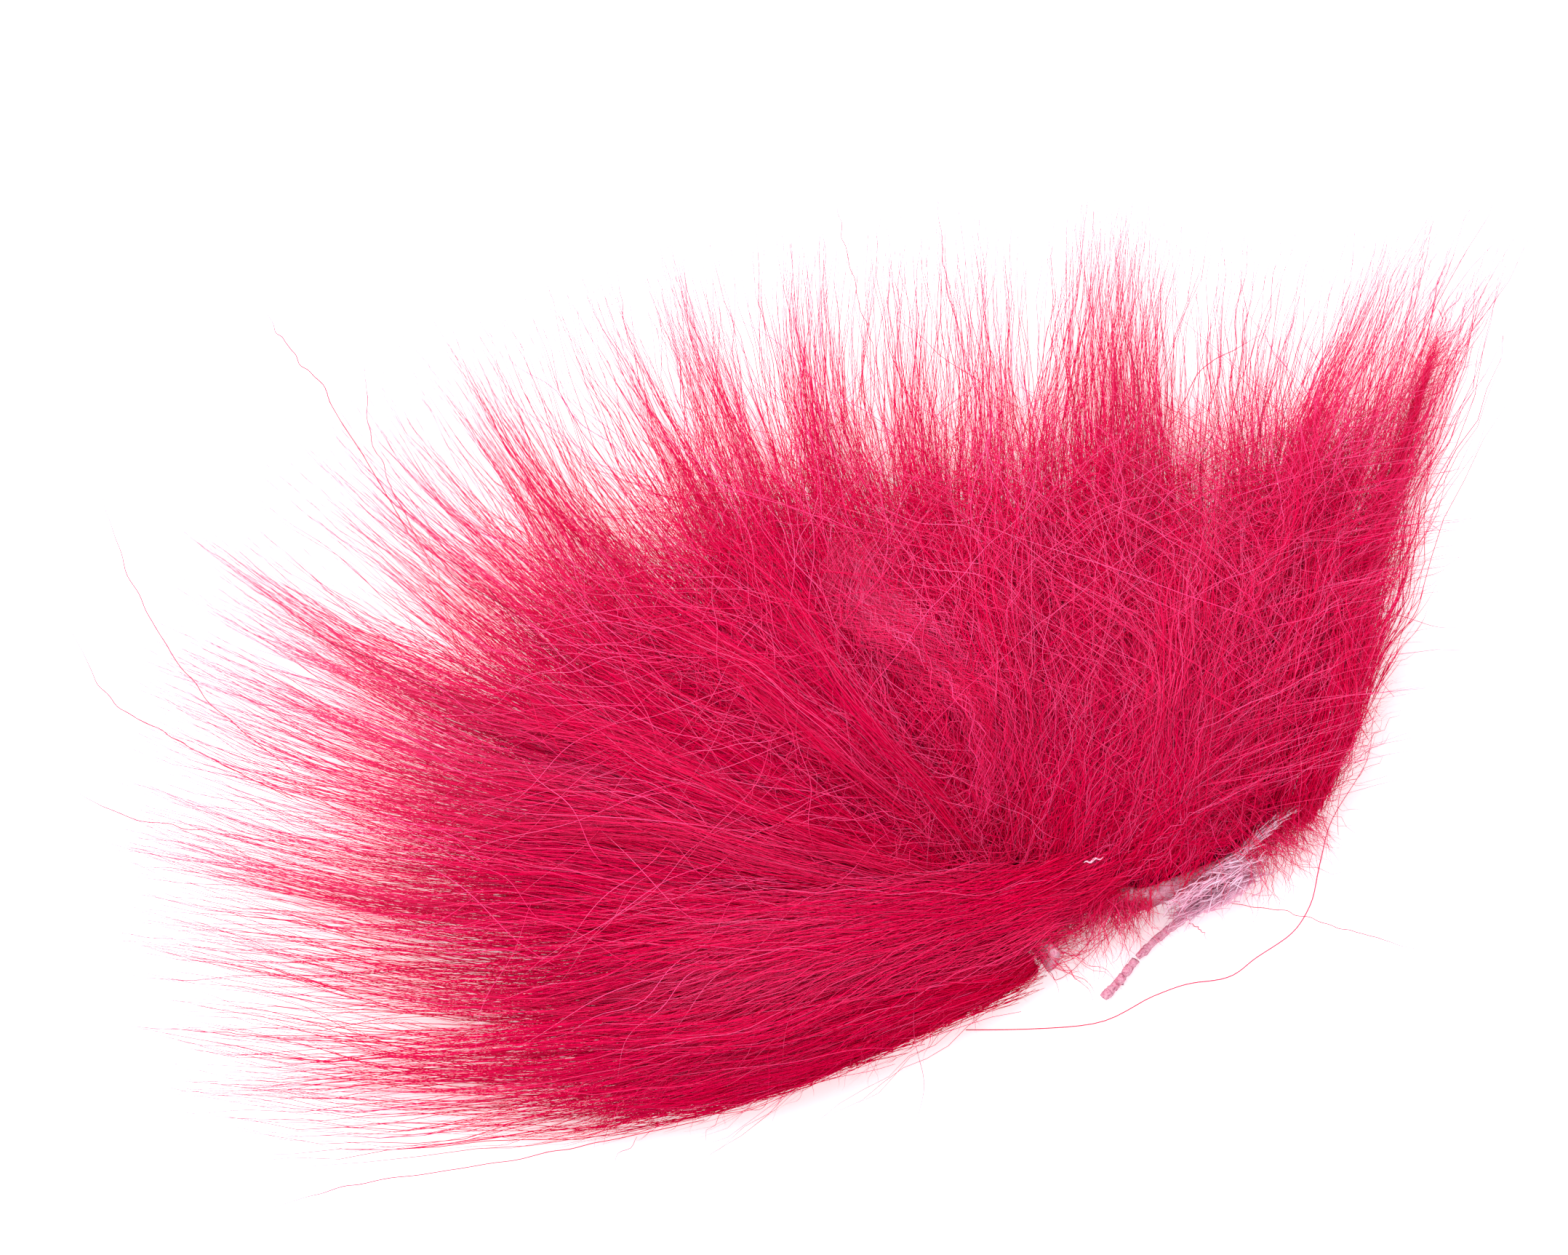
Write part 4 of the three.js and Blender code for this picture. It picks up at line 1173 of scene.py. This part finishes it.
# %% Strays
STRAYS = [
    ("stray_wavy", "centre", 0.10, [(-2.5, -11.6, 0.3), (3, -11.5, 0.25), (9, -10.9, 0.2), (13.5, -8.7, 0.25),
                                    (17.1, -7.4, 0.2), (20.2, -6.9, 0.2), (22.5, -5.3, 0.2), (25.6, -3.1, 0.25),
                                    (27.2, -0.5, 0.2), (28.2, 3.3, 0.3), (29.2, 6.8, 0.5), (32.4, 12, 0.6),
                                    (33.0, 15.8, 1.0), (34.2, 18.5, 2.5)]),
    ("stray_straight", "right_wing", 0.075, [(20.3, -0.9, 1.8), (26, -1.7, 1.0), (32, -3.4, 0.4), (37.9, -5, 0.2)]),
    ("stray_kinked", "right_wing", 0.08, [(15, 39, 9.5), (16.8, 42.4, 8), (18.4, 45.4, 7), (21.5, 47.5, 6.4),
                                          (24.1, 49.1, 6)]),
    ("stray_tall", "centre", 0.06, [(0.6, 40, 9), (0.2, 45.5, 7.5), (-0.6, 52, 6), (-1, 60, 5)]),
    ("stray_low_left", "left_wing", 0.08, [(-24.7, -19.8, 3), (-38, -22.4, 1.6), (-54.4, -25, 0.8),
                                           (-61.8, -27, 0.4)]),
    ("stray_across_top", "left_wing", 0.075, [(-34.2, 20.1, 15.5), (-20, 21, 19.0), (-5.9, 22.1, 20.2),
                                              (1.5, 21, 20)]),
    ("stray_loop_one", "centre", 0.06, [(3.4, -4, 4), (6.8, -5.4, 1.5), (9.2, -3.9, 0.6), (11.5, -2.7, 1.8)]),
    ("stray_loop_two", "centre", 0.06, [(4.2, -6.1, 0.4), (5.6, -7.1, 0.3), (7.8, -5.4, 0.5), (10.6, -2.8, 1.6),
                                        (12.4, -1.9, 4)]),
    ("stray_left_one", "left_wing", 0.0875, [(-50.5, 31, 6), (-57.7, 43.5, 3.5), (-62.0, 49.5, 2), (-64.0, 53, 1.5)]),
    ("stray_left_two", "left_wing", 0.0813, [(-48, 27, 7), (-52.6, 36.5, 4), (-54.4, 42.5, 3), (-54.9, 49.5, 2)]),
    ("stray_left_three", "left_wing", 0.0813, [(-60, 10, 5), (-67.9, 17, 3), (-74.6, 27.5, 1.6), (-78.6, 38.5, 1)]),
    ("stray_left_four", "left_wing", 0.0813, [(-60, 7.5, 5), (-68.5, 12.5, 2.5), (-76.4, 17.5, 1.2), (-81, 25.5, 1)]),
    ("stray_left_five", "left_wing", 0.075, [(-57, 3, 5), (-65.2, 5, 2), (-74.6, 7, 1), (-81.4, 10.5, 0.8)]),
    ("stray_left_six", "left_wing", 0.0813, [(-48, -13.5, 4), (-57, -13, 2), (-66, -12, 1), (-75.5, -11.2, 0.6)]),
    ("stray_top_one", "left_wing", 0.065, [(-9.5, 44, 7), (-11, 50.8, 5), (-12.6, 58, 4), (-14, 66, 3)]),
    ("stray_top_two", "left_wing", 0.065, [(-28, 36, 8), (-30.1, 42.5, 6), (-32, 51, 4), (-33.2, 59, 3)]),
    ("stray_top_three", "centre", 0.06, [(-1.8, 43, 8), (-2.9, 49, 6), (-4, 56.5, 4), (-4.6, 65, 3)]),
    ("stray_short", "tail_base", 0.07, [(16.4, -1.9, 0.5), (17.4, -2.7, 0.4), (18.3, -3.8, 0.3)]),
]


def stray(name, body, thick, route, seed, points=70):
    line = smooth_read(route, np.linspace(0, 1, points))
    rng = np.random.default_rng(seed)
    wobble = soft_noise(rng, points, 5, 6)[:, :3] * np.array([0.09, 0.09, 0.02])
    line = line + wobble * np.sin(np.pi * np.linspace(0, 1, points))[:, None]
    line[:, 2] = np.maximum(line[:, 2], 0.1)
    widths = taper(points, [thick], root=0.9, tip=0.35, full_until=0.7)
    piece = spin(name, line[None], widths, np.array([0.45]), GUARD_DYE, seed=seed)
    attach(piece, body)
    return piece


strays = [stray(*row, seed=400 + number) for number, row in enumerate(STRAYS)]
flake_middle = np.stack([np.linspace(7.2, 8.9, 14), np.linspace(0.9, 1.4, 14) + 0.1 * np.sin(np.arange(14)),
                         np.zeros(14)], axis=-1)
flake_middle[:, 2] = top_at(flake_middle[:, :2]) + 0.75
flake_half = 0.085 * np.sqrt(1.02 - np.linspace(-1, 1, 14)**2)
flake = sweep("skin_flake", flake_middle, flake_half, flake_half * 0.3, FLESH, 98, sides=10, ragged=0.25, square=0.9)
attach(flake, "centre")
print("strays:", [piece.name for piece in strays])

# %% [markdown]
# ## Table, light and camera
#
# The fur lies on a white table under even studio light. The table glows a faint pink as well: painted light that
# lifts the shadows round the fur and stands in for light bounced off the red hair. A bright white world lights it
# from all sides, and one large soft lamp at the upper left gives the shapes a little direction. The camera looks
# steeply down.

# %% Table and light
PAINTED_BOUNCE_GLOW = 0.5


def glowing_table():
    bpy.ops.mesh.primitive_plane_add(size=2.4, location=(0, 0, 0))
    table = bpy.context.object
    table.name = "table_top"
    material, nodes, links, surface = new_material("white_table")
    surface.inputs["Base Color"].default_value = (0.75, 0.75, 0.75, 1)
    # Pink glow: painted light that fills the shadows round the fur like light bounced off the hair.
    surface.inputs["Emission Color"].default_value = (1, 0.82, 0.88, 1)
    surface.inputs["Emission Strength"].default_value = PAINTED_BOUNCE_GLOW
    surface.inputs["Roughness"].default_value = 0.9
    surface.inputs["Specular IOR Level"].default_value = 0.1
    table.data.materials.append(material)


def facing(direction):
    return Vector(direction).to_track_quat("-Z", "Y").to_euler()


def soft_lamp(name, place, size, power, aim):
    lamp = bpy.data.lights.new(name, "AREA")
    lamp.shape = "RECTANGLE"
    lamp.size = lamp.size_y = size
    lamp.energy = power
    light = bpy.data.objects.new(name, lamp)
    bpy.context.scene.collection.objects.link(light)
    light.location = place
    light.rotation_euler = facing(np.array(aim) - np.array(place))


glowing_table()
world = bpy.data.worlds.new("studio")
world.use_nodes = True
world.node_tree.nodes["Background"].inputs["Color"].default_value = (1, 1, 1, 1)
world.node_tree.nodes["Background"].inputs["Strength"].default_value = 1.0
bpy.context.scene.world = world
soft_lamp("window_left", (-0.3, 0.25, 0.85), 0.7, 8.0, (0, 0.02, 0))
bpy.context.scene.view_settings.view_transform = "Standard"

# %% Camera
CAMERA_ELEVATION = 75.0
FRAME_WIDTH = 134.75
LENS, SENSOR = 120.0, 36.0
AIM = np.array([-18.0, 22.4, 6.0])
camera_data = bpy.data.cameras.new("camera")
camera_data.lens, camera_data.sensor_width = LENS, SENSOR
camera_data.clip_start = 0.01
camera = bpy.data.objects.new("camera", camera_data)
bpy.context.scene.collection.objects.link(camera)
tilt = math.radians(CAMERA_ELEVATION)
back = np.array([0, -math.cos(tilt), math.sin(tilt)])
camera.location = (AIM + back * FRAME_WIDTH * LENS / SENSOR) * MM
camera.rotation_euler = facing(-back)
bpy.context.scene.camera = camera
